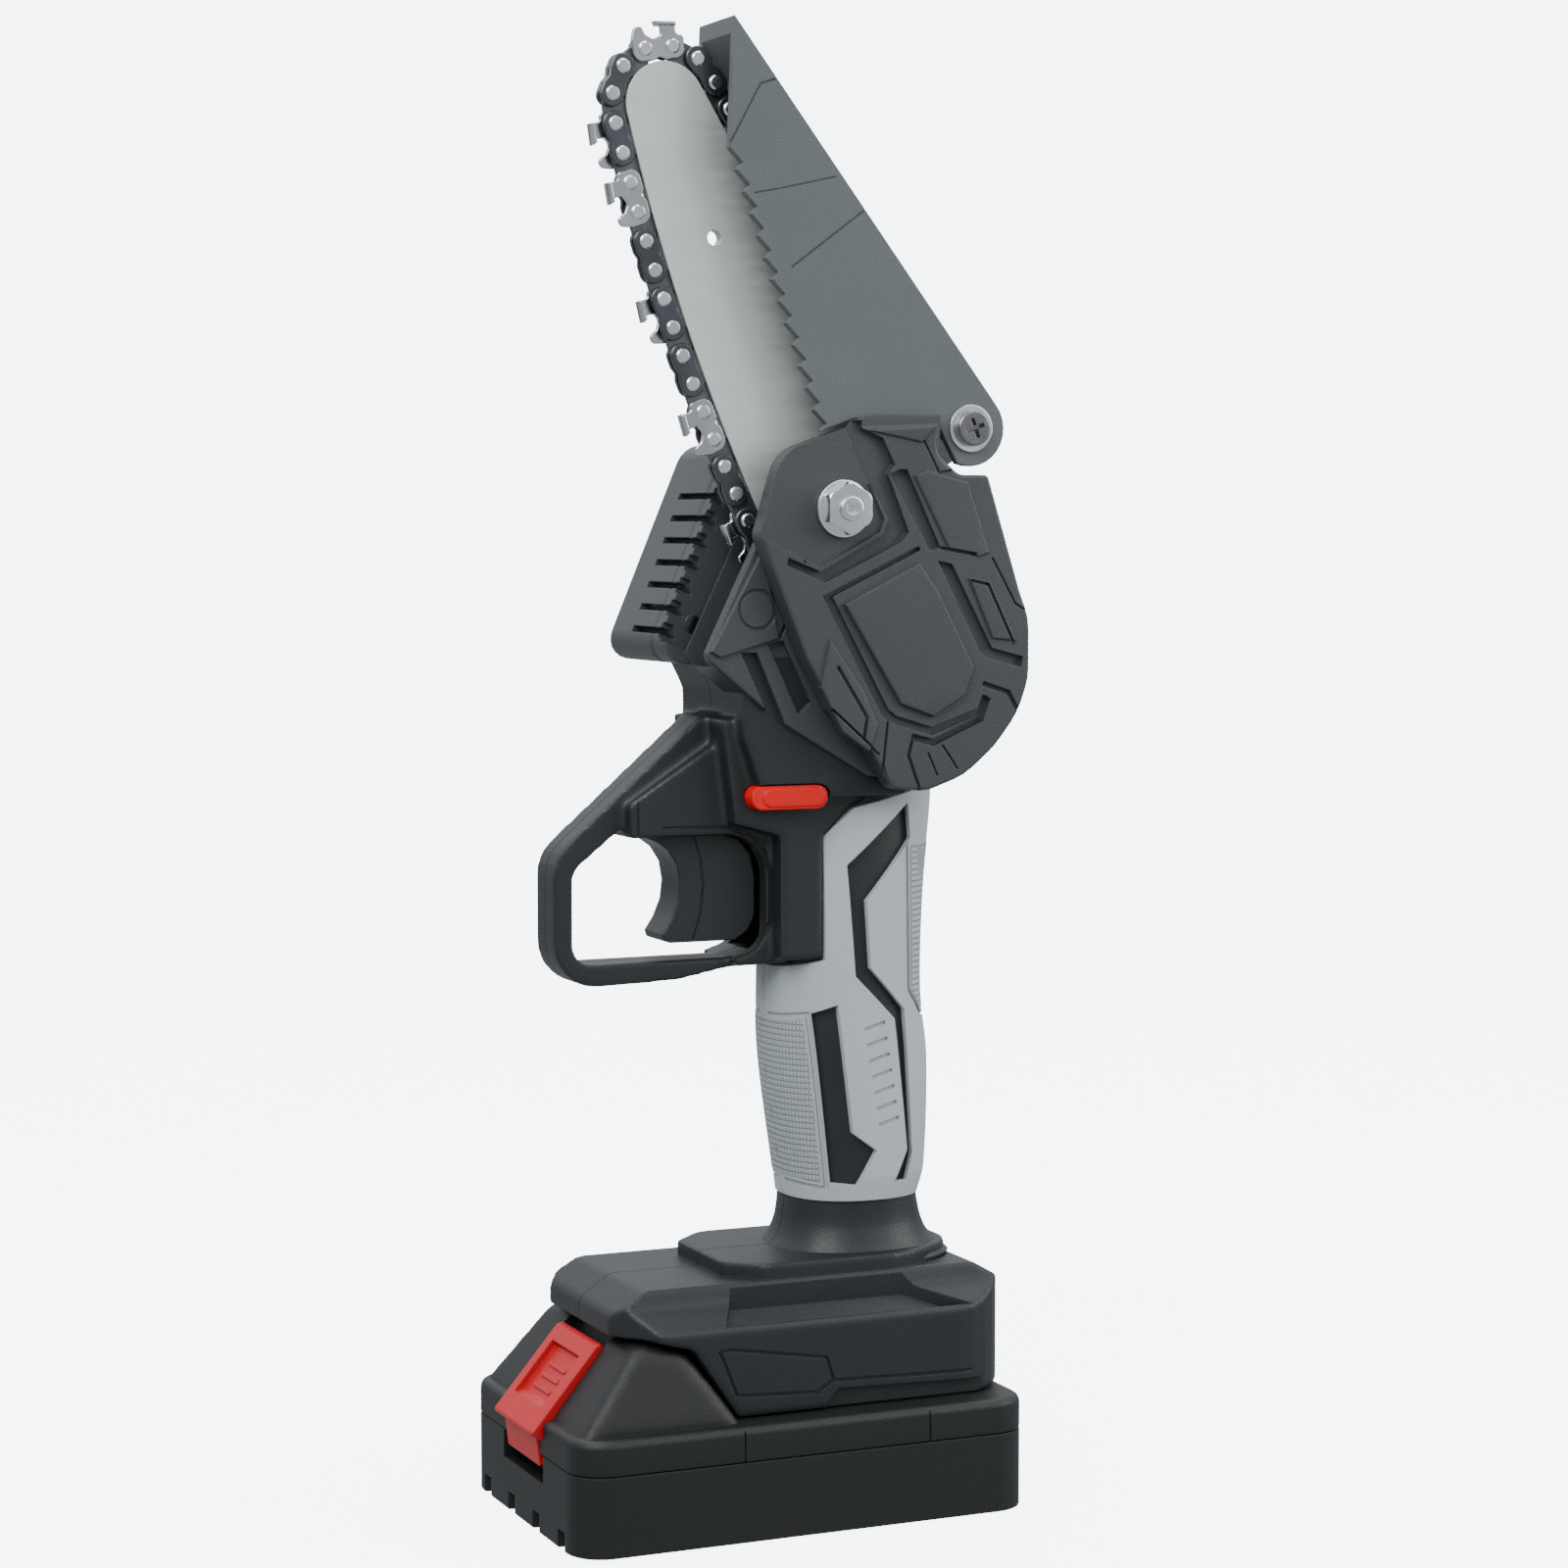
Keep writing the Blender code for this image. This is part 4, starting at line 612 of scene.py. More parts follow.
def makeChain():
    bodies = {"front_run": [1.4, sideLength - 1.4], "wheel": [sideLength - 1.4, sideLength + turnLength],
              "back_run": [sideLength + turnLength, 2 * sideLength + turnLength],
              "nose_turn": [2 * sideLength + turnLength, loopLength + 1.4]}
    nodes = {"front_run": "chain_front", "wheel": "chain_wrap", "back_run": "chain_back", "nose_turn": "chain_nose"}
    parts = {body: {"straps": [], "tangs": [], "cutters": [], "rivets": []} for body in bodies}
    middle, thick, half = sawChain["plane"], sawChain["strapThick"], sawChain["tangThick"] / 2
    gap = sawChain["rivetGap"]

    def bodyAt(s):
        s = s % loopLength
        for body, (first, last) in bodies.items():
            if first <= s < last or first <= s + loopLength < last:
                return body
        return "nose_turn"

    for k in range(sawChain["links"]):
        s = sawChain["firstTang"] + linkPitch * k
        place = linkFrame(s, gap)
        home = parts[bodyAt(s)]
        home["tangs"].append(plate(place(linkShapes["tang"]), middle - half, middle + half, 0.15, 1))
        for rivet in (s - gap / 2, s + gap / 2):
            spot = chainPoint(rivet, 0.0)
            reach = half + thick + sawChain["rivetProud"]
            home["rivets"].append(rod(spot, sawChain["rivetRadius"], middle - reach, middle + reach, 16, 0.35, 1))
        s += linkPitch / 2
        place = linkFrame(s, gap)
        home = parts[bodyAt(s)]
        near, far = (middle - half - thick, middle - half), (middle + half, middle + half + thick)
        for side, cut in ((near, k % 4 == 0), (far, k % 4 == 2)):
            if not cut:
                home["straps"].append(plate(place(linkShapes["strap"]), side[0], side[1], 0.22, 1))
                continue
            home["cutters"].append(plate(place(linkShapes["cutter"]), side[0], side[1], 0.18, 1))
            lip = (side[0] - 0.5, middle + 0.8) if side is near else (middle - 0.8, side[1] + 0.5)
            home["cutters"].append(plate(place(linkShapes["topPlate"]), lip[0], lip[1], 0.2, 1))
    looks = {"straps": "strap", "tangs": "link", "cutters": "cutter", "rivets": "rivet"}
    for body, kinds in parts.items():
        for kind, forms in kinds.items():
            if forms:
                newPiece(f"chain_{kind}_{body}", together(*forms), looks[kind], body, [nodes[body]])


makeBar()
makeChain()
print("bar and chain")


# ---- chain guard

guardShape = {
    "top": (-12.9, 325.6), "edgeFoot": (16.8, 283.5), "teethTop": (-14.1, 297.8), "teethFoot": (7.1, 238.2),
    "teeth": 13, "near": -24.0, "far": -4.0, "wall": 2.0, "bossRadius": 8.3,
}


def makeGuard():
    top, foot = Vector(guardShape["teethTop"]), Vector(guardShape["teethFoot"])
    teeth = []
    for k in range(guardShape["teeth"]):
        start = top + (foot - top) * k / guardShape["teeth"]
        root = top + (foot - top) * (k + 0.8) / guardShape["teeth"]
        teeth += [(start.x, start.y), (root.x + 1.7, root.y + 0.6)]
    boss = []
    for k in range(13):
        angle = math.radians(-112 + 152 * k / 12)
        boss.append((hingeSpot[0] + guardShape["bossRadius"] * math.cos(angle),
                     hingeSpot[1] + guardShape["bossRadius"] * math.sin(angle)))
    outline = [guardShape["top"], *teeth, guardShape["teethFoot"], (15.0, 241.0), (34.5, 241.3), *boss]
    guard = meshObject("chain_guard_shell", plate(outline, guardShape["near"], guardShape["far"], 0.12, 1))
    edge = Vector(guardShape["top"])
    along = (Vector(guardShape["edgeFoot"]) - edge).normalized()
    start = edge + Vector((along.y, -along.x)) * 2.2
    high, low = start - along * 40, start + along * 92
    pocket = [tuple(high), tuple(low), (70.0, low.y), (70.0, 225.0), (-60.0, 225.0), (-60.0, high.y)]
    carve(guard, plate(pocket, guardShape["near"] + guardShape["wall"], guardShape["far"] - guardShape["wall"]))
    carve(guard, rod(hingeSpot, 2.3, -30.0, 0.0, 24))
    for route, width, depth in guardLines:
        carve(guard, plate(band(route, width), guardShape["near"] - 1, guardShape["near"] + depth))
        carve(guard, plate(band(route, width), guardShape["far"] - depth, guardShape["far"] + 1))
    finishPiece(guard, "guard", "guard", ["chain_guard"])


guardLines = [
    ([(-14.6, 297.6), (-7.0, 311.5), (-3.6, 312.6)], 0.45, 0.3), ([(0.2, 273.0), (18.0, 286.2)], 0.45, 0.3),
    ([(-8.6, 288.4), (-2.4, 289.6), (10.6, 292.6)], 0.3, 0.2),
]
makeGuard()
print("guard")


# ---- sprocket cover, its nut and stud

coverShape = {
    "outline": [(-8.5, 215.8, 3), (-3.2, 233.6, 8), (13.0, 239.3, 10), (34.0, 240.3), (33.2, 234.0, 4),
                (39.0, 229.0, 3), (46.0, 229.0, 1), (54.0, 203.5, 12), (56.3, 197.7, 12), (56.3, 184.2, 12),
                (53.6, 176.6, 16), (48.0, 169.4, 18), (40.6, 163.2, 14), (31.5, 160.0, 8), (23.0, 160.5, 3),
                (17.0, 170.2, 3), (8.5, 178.0, 2), (5.4, 184.0, 2), (2.0, 190.0)],
    "near": -27.4, "far": -21.3, "edge": 0.9,
}
coverLip = [(10.0, 236.0), (13.6, 240.6), (19.0, 241.9), (34.6, 242.0), (34.0, 234.0)]  # stands in front of the guard
coverRaised = [  # outline, y of the face, edge
    ([(10.6, 201.0), (28.6, 209.9), (33.0, 204.0), (41.9, 187.2), (39.9, 181.0), (32.2, 176.3), (24.2, 179.2)], -28.9, 0.6),
    ([(7.6, 193.5), (5.5, 183.0), (10.3, 173.6), (17.0, 168.8), (19.0, 174.9), (15.6, 182.0)], -28.3, 0.5),
    ([(27.6, 228.8), (30.6, 229.9), (40.6, 227.4), (46.0, 212.0), (43.4, 211.2), (36.0, 213.0)], -28.0, 0.4),
    ([(40.9, 206.6), (46.2, 205.6), (52.7, 192.6), (46.8, 193.2)], -28.1, 0.4),
    ([(16.8, 238.4), (33.0, 239.6), (29.6, 236.0)], -28.0, 0.3),
]
coverChannels = [  # outline, y of the floor
    ([(11.8, 240.5), (11.8, 238.4), (15.4, 230.0), (21.6, 219.4), (20.3, 215.9), (5.6, 208.0), (-2.0, 211.0),
      (-2.4, 209.4), (6.5, 205.6), (24.8, 214.4), (26.6, 216.4), (21.6, 228.9), (23.2, 231.1), (20.3, 236.8),
      (15.4, 238.8), (15.4, 240.5)], -25.7),
    ([(21.9, 229.0), (24.5, 230.1), (26.1, 230.1), (34.2, 213.1), (31.5, 212.6)], -25.9),
    ([(33.5, 210.3), (37.0, 209.6), (46.9, 191.1), (54.6, 189.1), (54.2, 186.8), (45.7, 188.9), (43.9, 190.3)], -25.9),
    ([(5.9, 202.7), (6.8, 201.2), (20.2, 176.6), (22.7, 174.9), (32.0, 172.2), (44.6, 176.7), (46.0, 180.4),
      (44.6, 180.9), (43.4, 177.9), (32.2, 174.0), (23.6, 176.6), (21.6, 178.2), (8.4, 202.6), (29.4, 212.6),
      (28.9, 213.5)], -26.2),
]
coverLines = [  # route, width, y of the floor
    ([(34.2, 213.1), (42.8, 211.7)], 0.7, -26.6), ([(41.4, 206.0), (45.6, 205.1), (52.2, 191.6)], 0.7, -27.1),
    ([(9.2, 187.6), (16.2, 176.4), (15.5, 171.9)], 0.8, -27.4), ([(21.6, 175.6), (20.5, 165.9), (22.4, 160.3)], 0.6, -26.6),
    ([(27.8, 172.5), (26.6, 167.8), (29.4, 160.1)], 0.8, -26.5), ([(27.4, 171.9), (32.6, 170.6), (44.2, 175.6), (45.9, 180.2)], 1.5, -25.9),
    ([(31.3, 168.4), (33.6, 163.4)], 0.5, -26.7), ([(44.6, 183.3), (50.9, 181.3), (53.3, 177.2)], 1.1, -26.3),
    ([(30.1, 236.4), (33.8, 229.4), (36.8, 230.0)], 0.5, -26.8), ([(19.6, 168.2), (8.0, 178.4)], 0.5, -26.6),
    ([(46.8, 211.0), (52.6, 200.8), (55.8, 199.0)], 0.5, -26.7), ([(38.6, 164.6), (34.8, 170.0)], 0.5, -26.7),
    ([(1.4, 222.8), (-1.2, 216.6), (2.0, 209.8)], 0.5, -26.9),
]


def makeCover():
    near, far = coverShape["near"], coverShape["far"]
    cover = meshObject("sprocket_cover_shell", plate(coverShape["outline"], near, far, coverShape["edge"]))
    carve(cover, plate(coverLip, near + 0.4, far - 3.1, 0.3), how="UNION")
    for outline, face, edge in coverRaised:
        carve(cover, plate(outline, face, near + 2.0, edge), how="UNION")
    for outline, floor in coverChannels:
        carve(cover, plate(outline, -31.0, floor))
    for route, width, floor in coverLines:
        carve(cover, plate(band(route, width), -31.0, floor))
    seat = [(13.5, 244.0), (12.4, 237.8), (20.6, 219.2), (19.6, 216.6), (5.4, 209.0), (-14.0, 218.0), (-14.0, 244.0)]
    carve(cover, plate(seat, -31.0, -26.7))
    studSpot = middleOf("bar_stud")
    carve(cover, rod(studSpot, 3.2, -31.0, -20.0))
    finishPiece(cover, "body", "body", ["sprocket_cover"])


def middleOf(node):
    low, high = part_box(node)
    return (low[0] + high[0]) / 2 / mm, (low[2] + high[2]) / 2 / mm


def reachOf(node):
    low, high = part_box(node)
    return low[1] / mm, high[1] / mm


nutShape = {"flange": 6.3, "flangeThick": 1.4, "hexAcross": 5.75, "hole": 2.7, "studRadius": 2.65, "socket": 1.5}


def makeNut():
    spot = middleOf("cover_nut")
    near, far = reachOf("cover_nut")
    form = rod(spot, nutShape["hexAcross"], near, far - 0.5, 6)
    nut = meshObject("cover_nut_flanged", form)
    chamfer = rod(spot, nutShape["hexAcross"] * 0.99, near - 0.02, far, 48, 0.6, 3)
    carve(nut, chamfer, how="INTERSECT")
    carve(nut, rod(spot, nutShape["flange"], far - nutShape["flangeThick"], far, 48, 0.45), how="UNION")
    carve(nut, rod(spot, nutShape["hole"], near - 1, far + 1))
    finishPiece(nut, "zinc", "body", ["cover_nut"])
    studNear, studFar = reachOf("bar_stud")
    spot = middleOf("bar_stud")
    stud = meshObject("bar_stud_end", rod(spot, nutShape["studRadius"], studNear, studFar, 32, 0.4))
    carve(stud, rod(spot, nutShape["socket"], studNear - 1, studNear + 1.8, 6))
    finishPiece(stud, "zinc", "body", ["bar_stud"])


def crossHead(name, node, paint, body, headRadius, headNear, headFar, towards=-1):
    # a round screw head with a cross recess; towards says which way its head faces in y
    spot = middleOf(node)
    low, high = reachOf(node)
    screw = meshObject(name, rod(spot, headRadius, headNear, headFar, 36, 0.55, 3))
    shank = min(headRadius - 1.2, 2.0)
    inner, outer = (headFar - 0.2, high) if towards < 0 else (low, headNear + 0.2)
    if outer - inner > 0.5:
        carve(screw, rod(spot, shank, inner, outer, 24), how="UNION")
    face = headNear if towards < 0 else headFar
    for turn in (0.35, 0.35 + math.pi / 2):
        reach = headRadius * 0.58
        ends = [(spot[0] + reach * math.cos(turn) * sign, spot[1] + reach * math.sin(turn) * sign) for sign in (-1, 1)]
        carve(screw, plate(band(ends, headRadius * 0.24), face - 1.2, face + 1.2))
    return finishPiece(screw, paint, body, [node])


def makeScrews():
    low, high = reachOf("guard_screw")
    crossHead("guard_screw_cross", "guard_screw", "nickel", "body", 3.9, low, low + 2.2)
    spot = middleOf("guard_screw")
    washer = meshObject("guard_screw_ring", rod(spot, 5.2, low + 1.9, low + 2.5, 40, 0.2))
    carve(washer, rod(spot, 2.4, low, low + 4))
    finishPiece(washer, "zinc", "body", ["guard_screw"])
    for node in ("cap_screw_1", "cap_screw_2"):
        low, high = reachOf(node)
        corner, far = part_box(node)
        radius = (far[0] - corner[0]) / 2 / mm
        crossHead(node + "_cross", node, "nickel", "body", radius, high - 1.9, high, 1)
    for k in range(4):
        node = f"housing_screw_{k + 1}"
        low, high = reachOf(node)
        corner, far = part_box(node)
        radius = (far[0] - corner[0]) / 2 / mm
        crossHead(node + "_cross", node, "nickel", "body", radius, high - 1.9, high, 1)


makeCover()
makeNut()
makeScrews()
print("cover, nut and screws")


# ---- head of the housing

headShape = {
    "far": [(-25.0, 188.0, 5), (-4.6, 236.5, 6), (31.5, 234.5, 3), (34.0, 229.0, 4), (45.0, 228.5), (52.6, 203.0),
            (54.6, 197.0), (54.6, 184.0), (51.0, 177.8), (45.0, 172.0), (38.6, 165.2), (31.0, 162.0),
            (16.0, 164.0), (3.0, 176.0), (0.0, 187.4)],
    "near": [(-18.6, 189.6, 2), (-6.4, 214.6, 1), (1.0, 214.0), (40.0, 227.0), (45.0, 228.0), (52.3, 203.2),
             (54.3, 197.2), (54.3, 184.2), (50.7, 178.0), (44.7, 172.2), (38.3, 165.4), (31.2, 162.3),
             (20.0, 163.0), (-2.0, 176.0)],
    "parting": 0.12,
}
bumper = {"top": (-5.6, 232.5), "foot": (-22.6, 190.9), "slots": 7, "firstSlot": 3.4, "gap": 5.3, "slotHigh": 1.5,
          "slotDeep": 2.4, "cavityDeep": 9.0, "cavityNear": -9.0, "cavityFar": -4.6}


def sinkScrews(piece, numbers):
    # deep round wells over the housing screws' heads
    for number in numbers:
        node = f"housing_screw_{number}"
        carve(piece, rod(middleOf(node), 3.6, reachOf(node)[1] - 2.2, 70.0, 32))


def makeHead():
    far = meshObject("head_far", plate(headShape["far"], headShape["parting"], 27.0, 1.6, 3))
    near = meshObject("head_near", plate(headShape["far"], -8.0, -headShape["parting"], 0.5))
    ledge = [(15.0, 230.0), (15.0, 240.2), (32.0, 240.2), (32.0, 230.0)]
    carve(near, plate(ledge, -7.8, -headShape["parting"], 0.3), how="UNION")
    wall = meshObject("head_wall", plate(headShape["near"], -20.9, -7.0, 0.9))
    foot = Vector(bumper["foot"])
    along = (Vector(bumper["top"]) - foot).normalized()
    inward = Vector((along.y, -along.x))
    for k in range(bumper["slots"]):
        start = foot + along * (bumper["firstSlot"] + bumper["gap"] * k)
        rise = along * bumper["slotHigh"]
        cut = [start - inward * 2, start + inward * bumper["slotDeep"], start + inward + rise, start - inward * 2 + rise]
        outline = [(p.x, p.y) for p in cut]
        carve(far, plate(outline, -1.0, 13.5 + 0.5 * k))
        carve(near, plate(outline, bumper["cavityNear"], 1.0))
        # the ribs' near ends step back between the slots
        wide = [p + along * 1.2 if n > 1 else p - along * 1.0 for n, p in enumerate(cut)]
        carve(near, plate([(p.x, p.y) for p in wide], bumper["cavityNear"], -3.0))
    low, high = foot + along * 1.6, foot + along * 38.5
    cavity = [low - inward * 3, low + inward * bumper["cavityDeep"], high + inward * bumper["cavityDeep"],
              high - inward * 3]
    carve(near, plate([(p.x, p.y) for p in cavity], bumper["cavityNear"], bumper["cavityFar"]))
    sinkScrews(far, (1, 2))
    finishPiece(far, "body", "body", ["right_housing"])
    finishPiece(near, "body", "body", ["left_housing"])
    chamber = [(-30.0, 189.0), (-16.0, 187.6), (0.0, 180.0), (18.0, 172.0), (44.0, 178.0), (46.0, 215.0), (24.0, 230.0),
               (-6.0, 236.0), (-30.0, 214.0)]
    carve(wall, plate(chamber, -18.4, -8.3))
    badge = [(-5.2, 213.2), (-17.6, 190.9), (-15.4, 189.6), (-1.6, 193.6)]
    carve(wall, plate(badge, -21.8, -19.0, 0.4), how="UNION")
    ring = rod((-6.9, 199.8), 4.6, -24.0, -21.35, 48)
    carve(wall, ring)
    carve(wall, rod((-6.9, 199.8), 3.9, -21.75, -20.0, 48, 0.2), how="UNION")
    for outline, floor in (([(-10.4, 190.6), (-6.6, 190.6), (0.6, 173.9), (-2.4, 173.9)], -17.2),
                           ([(-4.0, 192.4), (-0.4, 193.2), (6.2, 179.6), (3.2, 177.0)], -19.4)):
        carve(wall, plate(outline, -24.0, floor))
    for route in ([(-2.6, 214.6), (3.0, 202.6), (-1.2, 193.8)], [(0.6, 214.2), (6.6, 202.4)]):
        carve(wall, plate(band(route, 0.8), -24.0, -20.0))
    finishPiece(wall, "body", "body", ["left_housing"])


motorPod = {"radius": 20.8, "near": 24.0, "far": 57.0, "ventCount": 9, "ventDeep": 1.6}


def makeMotorPod():
    low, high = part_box("motor_end_cap")
    pod = meshObject("motor_pod", rod(motorSpot, motorPod["radius"], motorPod["near"], low[1] / mm, 96, 0.8, 3))
    for k in range(motorPod["ventCount"]):
        angle = math.radians(30 + 300 * k / (motorPod["ventCount"] - 1) - 150 + 90)
        aim = Vector((math.cos(angle), math.sin(angle)))
        side = Vector((-aim.y, aim.x)) * 1.1
        base = Vector(motorSpot) + aim * (motorPod["radius"] - motorPod["ventDeep"])
        tip = Vector(motorSpot) + aim * (motorPod["radius"] + 3)
        outline = [tuple(base - side), tuple(base + side), tuple(tip + side), tuple(tip - side)]
        carve(pod, plate(outline, motorPod["near"] + 8, motorPod["near"] + 24, 0.4, 1))
    finishPiece(pod, "body", "body", ["right_housing"])
    centre = motorSpot
    cap = meshObject("motor_cap", rod(centre, motorPod["radius"], low[1] / mm + 0.1, high[1] / mm, 96, 1.6, 4))
    for k in range(5):
        across = -10.0 + 5.0 * k
        half = math.sqrt(15.5 ** 2 - across ** 2) - 3
        route = [(centre[0] - half, centre[1] + across), (centre[0] + half, centre[1] + across)]
        carve(cap, plate(band(route, 1.8), high[1] / mm - 1.6, high[1] / mm + 1))
    for node in ("cap_screw_1", "cap_screw_2"):
        carve(cap, rod(middleOf(node), 3.6, reachOf(node)[1] - 2.4, reachOf(node)[1] + 3, 32))
    finishPiece(cap, "smooth", "body", ["motor_end_cap"])


makeHead()
makeMotorPod()
print("head and motor pod")


# ---- neck, trigger housing, finger guard and handle core

neckShape = {
    "neck": ([(-14.0, 192.0), (-8.8, 182.0, 6), (-8.8, 172.0, 5), (-4.0, 158.3), (29.5, 158.8), (40.0, 168.0),
              (28.0, 192.0)], -19.4, 17.4),
    "triggerZone": ([(-31.5, 157.4), (-31.5, 150.2), (0.4, 150.2, 9), (0.4, 125.3, 5), (-7.0, 123.0), (-7.0, 121.3),
                     (6.5, 121.3), (6.5, 171.0), (-8.0, 175.0), (-12.4, 169.8)], -9.6, 9.6),
    "backZone": ([(-9.0, 153.0), (1.8, 150.0), (1.8, 122.5), (12.0, 122.6), (12.0, 149.9), (18.7, 156.3),
                  (22.0, 157.3), (22.0, 176.0), (-12.0, 176.0)], -14.8, 14.8),
    "fingerGuard": ([(0.0, 178.0), (-13.5, 176.2), (-47.8, 146.3, 9), (-47.8, 117.4, 10), (-19.0, 118.4),
                     (-7.0, 120.7), (4.0, 120.9), (5.0, 122.9), (-43.4, 122.7, 4), (-43.4, 143.2, 4),
                     (-32.2, 152.2), (-20.0, 155.0), (0.0, 160.0)], -6.0, 6.0),
    "voxel": 0.6, "ease": 7,
}
gripRings = [(68.0, 24.2, 15.6, 15.6), (74.0, 24.6, 16.8, 16.4), (99.0, 23.2, 18.9, 17.0), (114.0, 22.1, 18.2, 17.0),
             (137.0, 22.8, 18.2, 16.6), (156.0, 24.6, 18.4, 15.8), (166.0, 25.0, 18.4, 15.0)]
collarRings = [(54.0, 25.0, 22.6, 18.4), (56.6, 24.8, 19.8, 17.2), (59.0, 24.6, 17.6, 16.2), (62.5, 24.5, 16.2, 15.2),
               (67.8, 24.3, 15.3, 14.9)]


def easedRings(rings, steps, inward=0.0):
    # fills in rings between the given ones on a smooth line
    heights = [ring[0] for ring in rings]
    made = []
    for k in range(len(rings) - 1):
        a, b, c, d = rings[max(k - 1, 0)], rings[k], rings[k + 1], rings[min(k + 2, len(rings) - 1)]
        for i in range(steps + (k == len(rings) - 2)):
            t = i / steps
            ring = []
            for n in range(4):
                span = c[0] - b[0]
                slopeB = (c[n] - a[n]) / max(c[0] - a[0], 1e-6) * span
                slopeC = (d[n] - b[n]) / max(d[0] - b[0], 1e-6) * span
                value = ((2 * t ** 3 - 3 * t ** 2 + 1) * b[n] + (t ** 3 - 2 * t ** 2 + t) * slopeB
                         + (3 * t ** 2 - 2 * t ** 3) * c[n] + (t ** 3 - t ** 2) * slopeC)
                ring.append(value)
            made.append((ring[0], ring[1], ring[2] - inward, ring[3] - inward))
    return made


def loft(rings, sides=72, power=2.3):
    # each ring is (z, x, half length, half width) of a rounded-square section
    form = bmesh.new()
    last = []
    for z, x, a, b in rings:
        ring = bmesh.ops.create_circle(form, cap_ends=False, radius=1.0, segments=sides)["verts"]
        for point in ring:
            angle = math.atan2(point.co.y, point.co.x)
            u, v = math.cos(angle), math.sin(angle)
            grow = (abs(u) ** power + abs(v) ** power) ** (-1 / power)
            point.co = ((x + a * u * grow) * mm, b * v * grow * mm, z * mm)
        edges = list({e for point in ring for e in point.link_edges if e.other_vert(point) in ring})
        if last:
            bmesh.ops.bridge_loops(form, edges=last + edges)
        last = edges
    bmesh.ops.holes_fill(form, edges=[e for e in form.edges if e.is_boundary], sides=0)
    bmesh.ops.triangulate(form, faces=[f for f in form.faces if len(f.verts) > 4])
    bmesh.ops.recalc_face_normals(form, faces=form.faces)
    return form


def halfBlock(side):
    # one half of space, from the parting line out
    low, high = (0.12, 90.0) if side > 0 else (-90.0, -0.12)
    return plate([(-120.0, -20.0), (120.0, -20.0), (120.0, 400.0), (-120.0, 400.0)], low, high)


def makeMiddle():
    forms = [plate(outline, near, far) for outline, near, far in
             (neckShape[part] for part in ("neck", "triggerZone", "backZone", "fingerGuard"))]
    middle = meshObject("handle_middle", together(*forms))
    soften(middle, neckShape["voxel"], neckShape["ease"])
    core = loft(easedRings(gripRings, 5, 1.5))
    collar = loft(easedRings(collarRings, 4))
    carve(middle, core, collar, how="UNION")
    low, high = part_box("lock_button")
    left, right, foot, top = low[0] / mm - 0.2, high[0] / mm + 0.2, low[2] / mm - 0.2, high[2] / mm + 0.2
    button = [(left, foot, 3.5), (right, foot, 3.5), (right, top, 3.5), (left, top, 3.5)]
    carve(middle, plate(button, -40.0, 40.0))
    well = [(-30.5, 151.0), (-30.5, 124.6), (6.6, 124.6, 5), (6.6, 151.6, 5)]
    carve(middle, plate(well, -6.0, 6.0))
    ring = [(-24.0, 152.2), (-9.0, 152.0), (-3.6, 150.2), (0.0, 146.6), (1.4, 141.2), (1.4, 131.0), (-0.4, 126.6), (-3.6, 124.2)]
    carve(middle, plate(band(ring, 0.8), -12.0, -9.2), plate(band(ring, 0.8), 9.2, 12.0))
    for near, far in ((-12.0, -9.3), (9.3, 12.0)):
        carve(middle, plate(band([(-29.8, 158.6), (-29.8, 150.8)], 0.6), near, far))
    for side, name, node in ((-1, "handle_near", "left_housing"), (1, "handle_far", "right_housing")):
        half = bpy.data.objects.new(name, middle.data.copy())
        bpy.context.scene.collection.objects.link(half)
        carve(half, halfBlock(side), how="INTERSECT")
        if side > 0:
            sinkScrews(half, (3,))
        finishPiece(half, "handle", "body", [node], 34.0)
    bpy.data.objects.remove(middle)


gripShape = {
    "front": [(-20.0, 117.6), (3.6, 120.2), (12.4, 122.2), (12.4, 149.6), (19.0, 155.8), (37.0, 160.0), (60.0, 163.0),
              (60.0, 175.0), (-20.0, 175.0)],
    "upperWindow": [(32.4, 156.6), (33.2, 148.6), (21.6, 135.2), (22.5, 120.1), (31.4, 110.4), (33.6, 80.2), (33.9, 78.0),
                    (32.2, 71.9), (29.0, 71.9), (32.3, 78.8), (28.6, 108.6), (18.9, 118.5), (17.2, 143.2)],
    "lowerWindow": [(9.6, 110.4), (14.9, 112.3), (18.6, 83.4), (24.2, 79.2), (20.0, 71.6), (14.2, 72.2)],
    "frontPad": [(-8.0, 105.6), (8.0, 109.1), (12.4, 72.3), (-2.0, 74.6)],
    "backPad": [(33.4, 147.0), (33.8, 114.9), (37.0, 110.4), (60.0, 108.0), (60.0, 147.0)],
}
gripLines = [[(-8.0, 107.0), (8.9, 110.3), (13.6, 70.9), (-3.0, 73.2)],
             [(32.2, 148.0), (32.9, 114.5), (37.6, 108.4), (60.0, 106.0)]]


